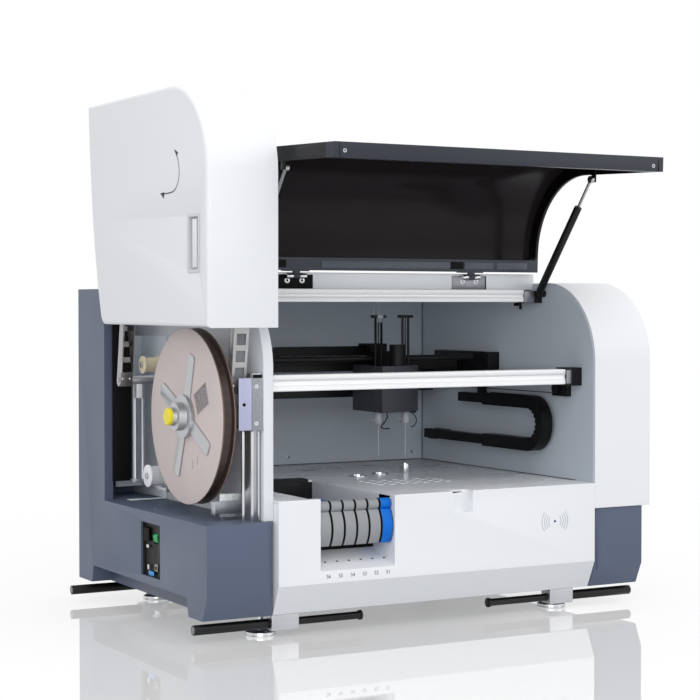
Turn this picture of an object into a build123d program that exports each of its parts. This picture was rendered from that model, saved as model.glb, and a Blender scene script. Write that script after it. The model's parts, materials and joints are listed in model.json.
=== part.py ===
"""Coagulation analyzer with a raised side cover, an open front lid and a sampling gantry.

Millimetres. +X is to the right seen from the front, +Y goes to the back, +Z is up, and Z = 0 is the bench.
The origin lies on the bench under the middle of the whole, with the lid open as it stands here.
Depths are counted backwards from the white front panel's face.
"""
import os
from math import atan2, cos, degrees, hypot, radians, sin

from build123d import *

os.makedirs("parts", exist_ok=True)

# Whole machine
cover_half = 500.0            # middle to the outer face of either white cover
base_half = 480.0             # middle to the outer face of the dark base
body_bottom = 42.0            # underside of the base above the bench
plinth_top = 213.0            # top of the dark base beside the working chamber
deck_top = 250.0              # working deck and top of the front panel
side_rear = 634.0             # depth of the base and the side covers
rear_depth = 675.0            # depth of the rear cover
arch_top = 647.0              # top of the side covers
arch_radius = 160.0           # rounded front upper corner of the side covers
arch_rise = arch_top - arch_radius
cover_corner = 9.0            # rounding of the covers' outer rims
inner_chamfer = 3.6           # along the same rims inside the covers
roof_top = 665.0

# Walls and clearances
skin = 3.0                    # moulded covers
sheet = 2.0                   # bent sheet metal
base_wall = 4.0
deck_wall = 4.0
gap = 0.3                     # between pieces that move past each other
run = 0.05                    # radial clearance of a turning or sliding fit
pin_radius = 4.0
pin_cap_radius = 6.0
boss_radius = 8.0
thin_radius = 10.0            # rods up to this radius have twelve flats round their radius
thin_sides = 12
middle_radius = 30.0          # and rods up to this one have twenty
middle_sides = 20
large_sides = 48              # larger ones have this many within their radius

# Working chamber between the bulkhead and the right cover
chamber_left = -341.0
chamber_right = 358.0
bulkhead_wall = 20.0
bulkhead_setback = 20.0
liner_setback = 3.0
liner_back = 655.0
cover_edge = chamber_right + sheet
left_cover_edge = chamber_left - bulkhead_wall - 2.0
right_cover_bottom = 200.0

# Front panel and base chamfers
chamfer_top = 96.0
chamfer_run = 24.0
dark_setback = 5.0
block_corner = 25.0
panel_flange = 60.0
reveal = 1.0

# Hand recess under each side of the base
recess_top = 76.0
recess_deep = 40.0
recess_front = 83.5
recess_back = 561.5
recess_slope = 9.5

# Left rear post
post_front = 491.0
post_return = 18.0

# Connection panel in the left side
io_front = 213.0
io_back = 304.0
io_low = 91.0
io_high = 192.0
io_recess = 8.0
switch_size = 20.0
switch_tilt = 8.0

# Sample racks
rack_count = 6
rack_pitch = 26.0
rack_width = 23.0
rack_window_left = -255.0
rack_bottom = 161.0
barrel_top = 223.5
roll_radius = 10.5
rack_front = 4.0
rack_length = 310.0
rack_body_top = 214.0
rack_wall = 3.0
rack_window_right = rack_window_left + rack_count * rack_pitch
bay_left = -272.0
bay_front = 15.0
bay_back = 330.0
bay_floor = 158.0
ramp_front_z = 118.0
ramp_back = 85.0
ramp_back_z = 145.0
reader_back = 366.0

reader_right = -106.0
divider_wall = 2.0
divider_top = 195.0

# Rear cover and its vents
rear_cover_inset = 25.0
rear_cover_low = 60.0
vent_count = 14
vent_pitch = 24.0
vent_width = 6.0
vent_height = 80.0

# Finger notch for the lid in the front panel
notch_left = 28.0
notch_right = 73.0
notch_low = 209.0
notch_deep = 22.0

# Reel of cuvettes
reel_radius = 163.0
reel_depth = 175.0
reel_height = 397.0
reel_left = -444.0
reel_width = 25.0
flange_wall = 2.5
tape_radius = 150.0
reel_bore = 20.0
spindle_radius = 6.0
spider_wall = 3.0
spider_reach = 118.0
spider_arm = 27.0
spider_angles = (75.0, 156.0, 250.0, 332.0)

# Side cover and its two parallel arms
cover_shift_front = -42.9     # open cover against closed cover, in depth
cover_shift_up = 349.3
arm_lower_z = 455.0
front_arm_depth = 50.0
rear_arm_depth = 428.0
arm_lean = 8.4                # forward lean of the arms with the cover up
arm_depth = 18.0
arm_wall = 2.0
arm_end = 12.0
front_arm_x = -400.5
front_arm_width = 29.0
rear_arm_x = -462.0
rear_arm_width = 26.0
window_pitch = 31.0
window_height = 20.6
handle_depth = (31.0, 82.0)
handle_height = (309.0, 413.0)
handle_recess = 14.0

# Lid over the chamber
hinge_depth = 205.0
hinge_z = 658.0
lid_open = 88.0
lid_left = -341.7
lid_right = 357.8
lid_lift = 2.0                # lid's inner outline outside the covers' outline
rim_deep = 27.0
rim_wall = 6.0
window_wall = 4.0
bar_height = 27.0
rail_depth = 25.0
lid_rear = 194.0
hinge_xs = (-199.0, 200.0)
knuckle_radius = 5.0
knuckle_length = 14.0
hinge_pin_radius = 2.0
leaf_half = 24.0
leaf_low = 640.0
pocket_half = 40.0

# Gas struts
strut_base = (172.0, 625.0)   # lower pivot: depth and height
strut_tip = (-5.0, 848.0)     # upper pivot with the lid open
strut_inset = 8.0             # strut's line from the rim's inner face
strut_radius = 7.5
strut_rod_radius = 3.0
strut_body = 217.0
strut_rod_end = 70.0
strut_socket = 7.0
lug_depth = (-24.0, 13.0)     # lugs on the lid's rims for the upper studs, with the lid closed
lug_z = (448.0, 461.0)

# Crossbars
upper_bar_depth = (180.0, 205.0)
upper_bar_z = (608.0, 633.0)
lower_bar_depth = (45.0, 75.0)
lower_bar_z = (444.5, 474.5)
bar_right = 320.0
upper_bar_right = 312.0
groove = 8.0

# Gantry
rail_z = (452.0, 464.0)
rail_x = 12.0
rail_depth_range = (134.0, 648.0)
carriage_depth = (336.0, 556.0)
carriage_top = 502.0
carriage_width = 27.0
beam_depth = (462.0, 474.0)
beam_z = (462.0, 486.0)
shaft_depth = 400.0
shaft_z = 490.0
shaft_radius = 6.0
head_x = (65.0, 175.0)
head_behind = 7.0             # from the head's back to the beam
head_depth = (330.0, beam_depth[0] - head_behind)
head_z = (380.0, 476.0)
head_skin = 15.0
probe_xs = (80.0, 145.0)
probe_depth = 372.0
probe_top = 581.0
probe_plate = (30.0, 14.0, 6.0)
probe_rod_radius = 2.5
probe_rod_offset = 7.0
needle_radius = 1.2
needle_tip = 287.0
wash_radius = 9.0
wash_bottom = 355.0
probe_down = 60.0

# Toothed belt that moves the gantry
belt_x = (339.5, 345.5)
belt_z = 434.0
belt_wall = 1.5
pulley_radius = 9.0
pulley_front = 112.0
pulley_back = 626.0
motor_size = 42.0

# Energy chains
chain_wall = 3.0
y_chain_x = (322.0, 348.0)
y_chain_height = 26.0
y_chain_radius = 44.0
y_chain_top = 403.0
y_chain_front = 128.0
y_chain_leg = 165.0
y_chain_anchor = 591.0
chain_behind = 4.0             # from the beam to the chain
x_chain_wide = 22.0
x_chain_depth = (beam_depth[1] + chain_behind, beam_depth[1] + chain_behind + x_chain_wide)
x_chain_height = 20.0
x_chain_radius = 32.0
x_chain_top = 504.0
x_chain_left = -135.0
x_chain_leg = 230.0
link_pitch = 13.0

# Carry bars and feet
bar_z = 25.0
bar_radius = 7.0
grip_radius = 9.0
carry_length = 342.0
grip_length = 148.0
stop_length = 5.0
block_length = 55.0
block_depth = 30.0
block_low = 13.0
front_bar_depth = 40.0
rear_bar_depth = 580.0
left_front_end = -491.0
right_front_end = 474.0
rear_end = 517.2
foot_radius = 28.0
foot_stud = 6.0
foot_places = ((-342.0, 72.0), (306.0, 72.0), (-345.0, 545.0), (309.0, 545.0))

# Wells in the deck: across, depth, outer radius, rim height above the deck
wash_cups = ((17.0, 345.0, 17.0, 3.0), (80.0, 366.0, 17.0, 3.0), (145.0, 372.0, 9.0, 20.0))
cup_wall = 1.8
cup_deep = 36.0
seat_columns = 7
seat_rows = 4
seat_pitch = 26.0
seat_middle = (50.0, 213.0)
seat_radius = 7.0
seat_sides = 8
seat_deep = 3.0

# Pivot posts, guides and reel bay
post_depth = (22.0, 83.0)
post_z = (378.0, 471.0)
column_depth = (30.0, 70.0)
guide_xs = (-440.0, -424.0)
guide_radius = 4.0
guide_low = 260.0
window_count = 5
clevis_root = 14.0
clevis_tip = 9.0
cover_rear_low = 499.0        # rear lower corner of the lowered side cover
cover_rear_edge = ((570.0, 647.0), (551.0, 446.0), (520.0, 285.0))
handle_bezel = 1.0
reel_window = ((88.0, 463.0), (74.0, 425.0), (127.0, 400.0), (143.0, 437.0))
hub_radius = 40.0
hub_disc = 6.0
hub_nose = 15.0
hub_nose_radius = 26.0
hub_neck = 8.0
hub_neck_radius = 17.0
cap_width = 7.0
cap_radius = 16.0
carrier_boss = 39.0
roller_x = (-446.0, -410.0)
roller_flange = 4.0
roller_upper_place = (379.0, 486.0)
roller_upper_radius = 17.0
roller_lower_place = (354.0, 272.0)
roller_lower_radius = 21.5
tray_z = 246.0

# Chain runs and links
link_notch = 3.0
link_size = 6.0
link_count = 9
link_start = 95.0
link_range = 170.0
y_fixed_front = 235.0
y_moving_run = (290.0, 450.0)
y_neck_x = (330.0, 337.0)
y_neck_depth = (354.0, 380.0)
x_fixed_left = -23.0
x_moving_run = (62.0, 142.0)
x_neck_x = (100.0, 140.0)

# Sampling head details
head_curve = 130.0
head_curve_back = 370.0
bearing_x = (85.0, 150.0)
knob_depth = 350.0
knob_offset = 8.0
knob_radius = 16.0
knob_height = 44.0
probe_rod_low = 450.0

# Rack details
barrel_foot = 14.0
barrel_back = 40.0
roll_depth = 22.0
station_count = 6
station_pitch = 48.0
rack_rib = 2.5

# Foot details
foot_rim = 7.0
foot_cone = 16.0
foot_neck = 10.0
foot_nut = 8.0

# Connection panel: sockets as depth, height, width and height of each
switch_place = (250.0, 164.0)
switch_deep = 8.0
switch_pin = 1.5
rocker_face = 8.0
sockets = ((284.0, 167.0, 28.0, 24.0), (286.0, 106.0, 12.0, 12.0), (266.0, 97.0, 18.0, 9.0),
           (243.0, 108.0, 16.0, 14.0))

# Electronics
tray_depth = (110.0, 540.0)
supply_inset = 12.0
supply_depth = (130.0, 270.0)
supply_high = 48.0
board_depth = (300.0, 500.0)
board_post_inset = 13.5         # from the board's ends to its posts
board_lift = 6.0

# The lid turns about its hinge; this is how far its front bar then stands in front of the front panel
lid_outer = lid_lift + rim_deep
lid_turn = radians(lid_open)
lid_reach = -(hinge_depth - (lid_outer + hinge_depth) * cos(lid_turn)
              - (hinge_z - deck_top) * sin(lid_turn))
front = -(rear_depth - lid_reach) / 2


def side(x):
    """Side plane at x: sketches are depth by height."""
    return Plane(origin=(x, front, 0), x_dir=(0, 1, 0), z_dir=(1, 0, 0))


def plan(z):
    """Level plane at z: sketches are x by depth."""
    return Plane(origin=(0, front, z))


def upright(depth):
    """Upright plane facing the front: sketches are x by height."""
    return Plane(origin=(0, front + depth, 0), x_dir=(1, 0, 0), z_dir=(0, -1, 0))


def block(x, depth, z, mode=Mode.ADD):
    """Rectangular piece between pairs of limits across, in depth and in height."""
    middle = (sum(x) / 2, front + sum(depth) / 2, sum(z) / 2)
    with Locations(middle):
        Box(abs(x[1] - x[0]), abs(depth[1] - depth[0]), abs(z[1] - z[0]), mode=mode)


def polygon(plane, points):
    """Closed straight-sided face on a plane."""
    with BuildSketch(plane) as outline:
        with BuildLine():
            Polyline(*points, close=True)
        make_face()
    return outline.sketch


def disc(radius, mode=Mode.ADD, bearing=False):
    """Section of a round piece: a true circle if it bears, else flats at the circle."""
    if bearing:
        Circle(radius, mode=mode)
    elif radius > middle_radius:
        RegularPolygon(radius, large_sides, mode=mode)
    elif radius > thin_radius:
        RegularPolygon(radius, middle_sides, major_radius=False, mode=mode)
    else:
        RegularPolygon(radius, thin_sides, major_radius=False, mode=mode)


def rod(start, end, radius, mode=Mode.ADD, bearing=False):
    """Bar between two points given as x, depth, height."""
    a = Vector(start[0], front + start[1], start[2])
    b = Vector(end[0], front + end[1], end[2])
    with BuildSketch(Plane(origin=a, z_dir=b - a)) as section_face:
        disc(radius, bearing=bearing)
    extrude(section_face.sketch, amount=(b - a).length, mode=mode)


def save(name, piece):
    """Label a finished piece and write its file."""
    piece.part.label = name
    export_step(piece.part, "parts/" + name + ".step")


def arch_face(plane, inset, bottom, rear):
    """Covers' side outline with its rounded front upper corner, set in from the outer face."""
    radius = arch_radius - inset
    top = arch_top - inset
    with BuildSketch(plane) as outline:
        with BuildLine():
            Polyline((inset, arch_rise), (inset, bottom), (rear, bottom), (rear, top), (arch_radius, top))
            RadiusArc((arch_radius, top), (inset, arch_rise), -radius)
        make_face()
    return outline.sketch


def chamfer_z(depth):
    """Height of the front chamfer at a depth."""
    return chamfer_top - (chamfer_top - body_bottom) * depth / chamfer_run


# Dark base: hollow blocks left and right, floor between them, left rear post
def base_side(inset):
    """Side outline of the dark base blocks, set in by a wall."""
    with BuildSketch(side(-base_half)) as outline:
        with BuildLine():
            Polyline((dark_setback, chamfer_z(dark_setback)), (dark_setback, plinth_top),
                     (side_rear, plinth_top), (side_rear, body_bottom), (chamfer_run, body_bottom),
                     close=True)
        make_face()
        if inset:
            offset(amount=-inset, kind=Kind.INTERSECTION)
    return outline.sketch


def base_block(inset):
    """The two base blocks, or with a wall for inset the rooms inside them."""
    with BuildPart() as blocks:
        extrude(base_side(inset), amount=2 * base_half)
        with BuildSketch(plan(0)):
            for outer, inner in ((-base_half, chamber_left - reveal), (base_half, cover_edge + reveal)):
                toward = 1 if inner > outer else -1
                corners = (outer + toward * inset, inner - toward * inset)
                with BuildLine():
                    Polyline((corners[0], 0), (corners[1], 0), (corners[1], rear_depth),
                             (corners[0], rear_depth), close=True)
                make_face()
        extrude(amount=roof_top, mode=Mode.INTERSECT)
        if inset:
            for edge in (-1, 1):
                block((edge * (base_half - recess_deep - base_wall), edge * base_half),
                      (0, rear_depth), (0, recess_top + base_wall), mode=Mode.SUBTRACT)
        front_edges = blocks.edges().filter_by(Axis.Z).group_by(Axis.Y)[0]
        near_panel = [edge for edge in front_edges if abs(edge.center().X) < base_half - 2 * block_corner]
        fillet(near_panel, radius=block_corner - inset)
    return blocks.part


with BuildPart() as base_housing:
    add(base_block(0))
    block((chamber_left - reveal, cover_edge + reveal), (chamfer_run + base_wall, side_rear),
          (body_bottom, body_bottom + base_wall))
    block((chamber_left - reveal, cover_edge + reveal), (side_rear - base_wall, side_rear),
          (body_bottom, plinth_top))
    block((-base_half, -base_half + post_return), (post_front, side_rear), (plinth_top, side_rear))
    block((-base_half, chamber_left - bulkhead_wall), (side_rear - base_wall, side_rear),
          (plinth_top, side_rear))
    add(base_block(base_wall), mode=Mode.SUBTRACT)
    block((-base_half + skin, -base_half + post_return), (post_front + skin, side_rear - base_wall),
          (plinth_top, side_rear - skin), mode=Mode.SUBTRACT)
    extrude(polygon(side(-base_half), ((recess_front, body_bottom),
                                       (recess_front + recess_slope, recess_top),
                                       (recess_back - recess_slope, recess_top),
                                       (recess_back, body_bottom))),
            amount=recess_deep, mode=Mode.SUBTRACT)
    extrude(polygon(side(base_half - recess_deep), ((recess_front, body_bottom),
                                                    (recess_front + recess_slope, recess_top),
                                                    (recess_back - recess_slope, recess_top),
                                                    (recess_back, body_bottom))),
            amount=recess_deep, mode=Mode.SUBTRACT)
    block((-base_half, -base_half + base_wall), (io_front, io_back), (io_low, io_high), mode=Mode.SUBTRACT)
save("base_housing", base_housing)

# White front panel: chamfered front, scoop and ramp under the racks, finger notch
with BuildPart() as front_panel:
    extrude(polygon(side(chamber_left), ((0, chamfer_top), (0, deck_top), (panel_flange, deck_top),
                                         (panel_flange, deck_top - deck_wall),
                                         (deck_wall, deck_top - deck_wall),
                                         (deck_wall, chamfer_top), (chamfer_run + deck_wall, body_bottom),
                                         (chamfer_run, body_bottom))),
            amount=cover_edge - chamber_left)
    block((rack_window_left, rack_window_right), (-deck_wall, panel_flange), (ramp_front_z, roof_top),
          mode=Mode.SUBTRACT)
    block((bay_left, rack_window_right), (bay_front, panel_flange), (deck_top - deck_wall, deck_top),
          mode=Mode.SUBTRACT)
    extrude(polygon(side(rack_window_left), ((0, ramp_front_z - deck_wall), (0, ramp_front_z),
                                             (ramp_back, ramp_back_z), (ramp_back, bay_floor),
                                             (ramp_back + deck_wall, bay_floor),
                                             (ramp_back + deck_wall, ramp_back_z - deck_wall))),
            amount=rack_window_right - rack_window_left)
    for cheek_left in (rack_window_left - deck_wall, rack_window_right):
        extrude(polygon(side(cheek_left), ((deck_wall, ramp_front_z), (deck_wall, deck_top - deck_wall),
                                           (bay_front + deck_wall, deck_top - deck_wall),
                                           (ramp_back + deck_wall, bay_floor),
                                           (ramp_back + deck_wall, ramp_back_z))),
                amount=deck_wall)
    with BuildSketch(upright(-deck_wall)) as notch_mouth:
        with BuildLine():
            Polyline((notch_right, notch_low), (notch_right, roof_top), (notch_left, roof_top),
                     (notch_left, deck_top - deck_wall), close=True)
        make_face()
    extrude(amount=-(notch_deep + deck_wall), mode=Mode.SUBTRACT)
    extrude(polygon(plan(notch_low - deck_wall), ((notch_left, deck_wall),
                                                  (notch_right + deck_wall, deck_wall),
                                                  (notch_right + deck_wall, notch_deep + deck_wall),
                                                  (notch_right - deck_wall, notch_deep + deck_wall))),
            amount=deck_top - notch_low)
    extrude(polygon(plan(notch_low), ((notch_left, 0), (notch_right, 0), (notch_right, notch_deep))),
            amount=roof_top - notch_low, mode=Mode.SUBTRACT)
save("front_panel", front_panel)


def rounded_cover(outline, width, low, rear, inside=False):
    """Cover with its outer rim rounded at the front, arch and top, or the chamfered room inside it."""
    with BuildPart() as piece:
        extrude(outline, amount=width)
        outer_face = piece.faces().sort_by(Axis.X)[0 if width < 0 else -1]
        rim = [edge for edge in outer_face.edges() if edge.center().Z > low and edge.center().Y < rear]
        if inside:
            chamfer(rim, length=inner_chamfer)
        else:
            fillet(rim, radius=cover_corner)
    return piece.part


# White right cover: arched shell, open below and towards the chamber
with BuildPart() as right_cover:
    add(rounded_cover(arch_face(side(cover_edge), 0, right_cover_bottom, side_rear),
                      cover_half - cover_edge, right_cover_bottom + skin, front + side_rear - skin))
    add(rounded_cover(arch_face(side(cover_edge), skin, right_cover_bottom, side_rear - skin),
                      cover_half - cover_edge - skin, right_cover_bottom + skin,
                      front + side_rear - 2 * skin, inside=True), mode=Mode.SUBTRACT)
    block((cover_edge, base_half + reveal), (side_rear - 2 * skin, side_rear), (0, plinth_top),
          mode=Mode.SUBTRACT)
save("right_cover", right_cover)

# Blue-grey chamber liner: back wall and right wall, bent from one sheet
with BuildPart() as chamber_liner:
    block((chamber_left, cover_edge), (liner_back - sheet, liner_back), (deck_top, roof_top - deck_wall))
    extrude(arch_face(side(chamber_right), liner_setback, deck_top, liner_back), amount=sheet)
save("chamber_liner", chamber_liner)

# White bulkhead between the reel bay and the chamber; its top carries the roof
with BuildPart() as left_bulkhead:
    extrude(arch_face(side(chamber_left - bulkhead_wall), bulkhead_setback, plinth_top, liner_back),
            amount=bulkhead_wall)
    block((chamber_left - bulkhead_wall, chamber_left), (hinge_depth + knuckle_radius, liner_back),
          (arch_rise, roof_top - deck_wall))
    block((chamber_left - bulkhead_wall, chamber_left), (side_rear - base_wall, side_rear),
          (plinth_top, side_rear), mode=Mode.SUBTRACT)
save("left_bulkhead", left_bulkhead)

# Rear cover: shallow tray over the machine's back, with a row of vent slots
rear_cover_half = base_half - rear_cover_inset
with BuildPart() as rear_cover:
    block((-rear_cover_half, rear_cover_half), (side_rear, rear_depth), (rear_cover_low, arch_top))
    fillet(rear_cover.edges().filter_by(Axis.Z).group_by(Axis.Y)[-1], radius=2 * skin)
    block((skin - rear_cover_half, rear_cover_half - skin), (side_rear, rear_depth - skin),
          (rear_cover_low + skin, arch_top - skin), mode=Mode.SUBTRACT)
    block((chamber_left - bulkhead_wall, cover_edge), (side_rear, liner_back), (arch_rise, arch_top),
          mode=Mode.SUBTRACT)
    with BuildSketch(upright(rear_depth)):
        with GridLocations(vent_pitch, 1, vent_count, 1):
            with Locations((0, (rear_cover_low + plinth_top) / 2)):
                Rectangle(vent_width, vent_height)
    extrude(amount=skin, mode=Mode.SUBTRACT)
save("rear_cover", rear_cover)

# Working deck with the rack bay, the reader's opening, cup bores and reagent seats
with BuildPart() as deck:
    block((chamber_left, cover_edge), (panel_flange, liner_back), (deck_top - deck_wall, deck_top))
    block((bay_left, rack_window_right), (panel_flange, bay_back), (0, roof_top), mode=Mode.SUBTRACT)
    block((chamber_left + reveal, reader_right), (bay_back, reader_back), (0, roof_top), mode=Mode.SUBTRACT)
    for cup_x, cup_depth, cup_radius, cup_rim in wash_cups:
        rod((cup_x, cup_depth, deck_top - deck_wall), (cup_x, cup_depth, deck_top), cup_radius,
            mode=Mode.SUBTRACT)
    with BuildSketch(plan(deck_top)):
        with Locations(seat_middle):
            with GridLocations(seat_pitch, seat_pitch, seat_columns, seat_rows):
                RegularPolygon(seat_radius, seat_sides)
    extrude(amount=-seat_deep, mode=Mode.SUBTRACT)
save("deck", deck)

# Rack bay below the deck: floor, walls and lane dividers
with BuildPart() as rack_bay:
    block((bay_left - skin, rack_window_right + skin), (ramp_back + deck_wall, bay_back + skin),
          (bay_floor - skin, bay_floor))
    block((bay_left - skin, rack_window_left - deck_wall), (deck_wall, ramp_back + deck_wall),
          (bay_floor - skin, bay_floor))
    block((bay_left - skin, bay_left), (deck_wall, bay_back + skin), (bay_floor, deck_top - deck_wall))
    block((rack_window_right, rack_window_right + skin), (ramp_back + deck_wall, bay_back + skin),
          (bay_floor, deck_top - deck_wall))
    block((bay_left, rack_window_right), (bay_back, bay_back + skin), (bay_floor, deck_top - deck_wall))
    for lane in range(1, rack_count):
        lane_x = rack_window_left + lane * rack_pitch
        block((lane_x - divider_wall / 2, lane_x + divider_wall / 2),
              (ramp_back + deck_wall, bay_back), (bay_floor, divider_top))
save("rack_bay", rack_bay)

# Black tube reader across the back of the bay
with BuildPart() as tube_reader:
    block((chamber_left + reveal, reader_right), (bay_back + skin, reader_back),
          (bay_floor, deck_top + sheet))
    fillet(tube_reader.edges().filter_by(Axis.Z), radius=sheet)
save("tube_reader", tube_reader)

# Steel wash cups standing in the deck
with BuildPart() as wash_wells:
    for cup_x, cup_depth, cup_radius, cup_rim in wash_cups:
        rod((cup_x, cup_depth, deck_top - cup_deep), (cup_x, cup_depth, deck_top), cup_radius)
        rod((cup_x, cup_depth, deck_top), (cup_x, cup_depth, deck_top + cup_rim), cup_radius + cup_wall)
        rod((cup_x, cup_depth, deck_top - cup_deep + cup_wall), (cup_x, cup_depth, deck_top + cup_rim),
            cup_radius - cup_wall, mode=Mode.SUBTRACT)
save("wash_wells", wash_wells)

# White roof panel: skirted plate with a front upstand that carries the lid hinges
roof_front = hinge_depth + 8.0
roof_left = chamber_left - bulkhead_wall
with BuildPart() as roof_panel:
    block((roof_left, cover_edge), (roof_front, rear_depth), (arch_top, roof_top))
    block((roof_left + deck_wall, cover_edge - deck_wall), (roof_front + deck_wall, rear_depth - deck_wall),
          (arch_top, roof_top - deck_wall), mode=Mode.SUBTRACT)
    block((roof_left, chamber_left), (0, liner_back), (0, roof_top - deck_wall), mode=Mode.SUBTRACT)
    block((chamber_left, cover_edge), (liner_back - sheet, liner_back), (0, roof_top - deck_wall),
          mode=Mode.SUBTRACT)
    block((cover_edge - deck_wall, cover_edge), (roof_front + deck_wall, liner_back - sheet),
          (arch_top - liner_setback, roof_top - deck_wall))
    block((chamber_left, chamber_right), (roof_front, roof_front + deck_wall), (upper_bar_z[1], arch_top))
    for hinge_x in hinge_xs:
        block((hinge_x - pocket_half, hinge_x + pocket_half), (roof_front, roof_front + sheet),
              (upper_bar_z[1], roof_top - deck_wall), mode=Mode.SUBTRACT)
save("roof_panel", roof_panel)

# Lid hinges: leaves on the roof with their pins, turning knuckles on the lid
with BuildPart() as roof_hinge_leaves:
    for hinge_x in hinge_xs:
        block((hinge_x - leaf_half, hinge_x + leaf_half), (roof_front, roof_front + sheet),
              (leaf_low, hinge_z - gap))
        for toward in (-1, 1):
            inner = hinge_x + toward * (knuckle_length / 2 + gap)
            outer = hinge_x + toward * (1.5 * knuckle_length + gap)
            rod((inner, hinge_depth, hinge_z), (outer, hinge_depth, hinge_z), knuckle_radius)
            block((inner, outer), (hinge_depth, roof_front), (hinge_z - knuckle_radius, hinge_z - gap))
        rod((hinge_x - knuckle_length, hinge_depth, hinge_z),
            (hinge_x + knuckle_length, hinge_depth, hinge_z), hinge_pin_radius, bearing=True)
save("roof_hinge_leaves", roof_hinge_leaves)


def lid_plane(x):
    """Side plane carried by the open lid: sketches are depth and height from the hinge, lid closed."""
    return Plane(origin=(x, front + hinge_depth, hinge_z), x_dir=(0, cos(lid_turn), -sin(lid_turn)),
                 z_dir=(1, 0, 0))


def lid_band(x, outside, inside, bottom, rear):
    """Band of the closed lid's side outline between two offsets outside the covers' outline."""
    def at(depth, z):
        return (depth - hinge_depth, z - hinge_z)

    with BuildSketch(lid_plane(x)) as outline:
        with BuildLine():
            Polyline(at(-outside, arch_rise), at(-outside, bottom),
                     at(-inside, bottom), at(-inside, arch_rise))
            RadiusArc(at(-inside, arch_rise), at(arch_radius, arch_top + inside), arch_radius + inside)
            Polyline(at(arch_radius, arch_top + inside), at(rear, arch_top + inside),
                     at(rear, arch_top + outside), at(arch_radius, arch_top + outside))
            RadiusArc(at(arch_radius, arch_top + outside), at(-outside, arch_rise), -(arch_radius + outside))
        make_face()
    return outline.sketch


def lid_bar(x, depth, z, mode=Mode.ADD):
    """Bar across the lid between two x values, given by its closed depth and height limits."""
    corners = [(d - hinge_depth, h - hinge_z) for d, h in
               ((depth[0], z[0]), (depth[1], z[0]), (depth[1], z[1]), (depth[0], z[1]))]
    extrude(polygon(lid_plane(x[0]), corners), amount=x[1] - x[0], mode=mode)


# Black lid frame: two arched rims, front bar, rear rail, hinge knuckles and strut studs
rail_low = arch_top + lid_lift
strut_xs = (lid_left + rim_wall + strut_inset, lid_right - rim_wall - strut_inset)
with BuildPart() as lid_frame:
    for rim_x in (lid_left, lid_right - rim_wall):
        extrude(lid_band(rim_x, lid_outer, lid_lift, deck_top, lid_rear), amount=rim_wall)
    lid_bar((lid_left + rim_wall, lid_right - rim_wall), (-lid_outer, -lid_lift),
            (deck_top, deck_top + bar_height))
    lid_bar((lid_left + rim_wall, lid_right - rim_wall), (lid_rear - rail_depth, lid_rear),
            (rail_low, rail_low + rim_deep))
    for hinge_x in hinge_xs:
        lid_bar((hinge_x - leaf_half, hinge_x + leaf_half), (lid_rear, lid_rear + sheet),
                (rail_low, rail_low + rim_deep))
        lid_bar((hinge_x - knuckle_length / 2, hinge_x + knuckle_length / 2), (lid_rear, hinge_depth),
                (hinge_z - knuckle_radius + sheet, hinge_z + knuckle_radius - sheet))
        rod((hinge_x - knuckle_length / 2, hinge_depth, hinge_z),
            (hinge_x + knuckle_length / 2, hinge_depth, hinge_z), knuckle_radius)
        rod((hinge_x - knuckle_length / 2, hinge_depth, hinge_z),
            (hinge_x + knuckle_length / 2, hinge_depth, hinge_z), hinge_pin_radius + run, mode=Mode.SUBTRACT)
    for strut_x, inner_face in zip(strut_xs, (lid_left + rim_wall, lid_right - rim_wall)):
        toward = 1 if strut_x > inner_face else -1
        lid_bar((inner_face, inner_face + toward * skin), lug_depth, lug_z)
        rod((inner_face, *strut_tip), (strut_x - toward * (strut_socket / 2 + gap), *strut_tip), pin_radius)
save("lid_frame", lid_frame)

# Smoked window bent along the rims
with BuildPart() as lid_window:
    extrude(lid_band(lid_left + rim_wall, lid_outer, lid_outer - window_wall, deck_top + bar_height,
                     lid_rear - rail_depth), amount=lid_right - lid_left - 2 * rim_wall)
save("lid_window", lid_window)

# Gas struts
strut_length = hypot(strut_tip[0] - strut_base[0], strut_tip[1] - strut_base[1])


def strut_point(strut_x, distance):
    """Point on a strut's line at a distance from its lower pivot."""
    share = distance / strut_length
    return (strut_x, strut_base[0] + (strut_tip[0] - strut_base[0]) * share,
            strut_base[1] + (strut_tip[1] - strut_base[1]) * share)


def across(place, width):
    """Two ends of a pin along X, centred on a place."""
    return (place[0] - width / 2, *place[1:]), (place[0] + width / 2, *place[1:])


for strut_name, strut_x in zip(("left", "right"), strut_xs):
    with BuildPart() as strut_cylinder:
        rod(strut_point(strut_x, strut_socket + reveal), strut_point(strut_x, strut_body), strut_radius)
        rod(strut_point(strut_x, 0), strut_point(strut_x, 2 * strut_socket), strut_rod_radius)
        rod(*across(strut_point(strut_x, 0), strut_socket), strut_socket)
        rod(*across(strut_point(strut_x, 0), strut_socket), pin_radius + run, mode=Mode.SUBTRACT)
        rod(strut_point(strut_x, 2 * strut_socket), strut_point(strut_x, strut_body),
            strut_rod_radius + run, mode=Mode.SUBTRACT)
    save("strut_cylinder_" + strut_name, strut_cylinder)
    with BuildPart() as strut_rod:
        rod(strut_point(strut_x, strut_rod_end), strut_point(strut_x, strut_length), strut_rod_radius)
        rod(*across(strut_point(strut_x, strut_length), strut_socket), strut_socket - run)
    save("strut_rod_" + strut_name, strut_rod)


def bar_profile(depth, z, slot):
    """Square aluminium bar section with a groove along its front and back."""
    with BuildSketch(side(chamber_left)) as outline:
        with Locations((sum(depth) / 2, sum(z) / 2)):
            RectangleRounded(depth[1] - depth[0], z[1] - z[0], sheet)
        with Locations((depth[0], sum(z) / 2), (depth[1], sum(z) / 2)):
            Rectangle(sheet * 2, slot, mode=Mode.SUBTRACT)
    return outline.sketch


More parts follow.
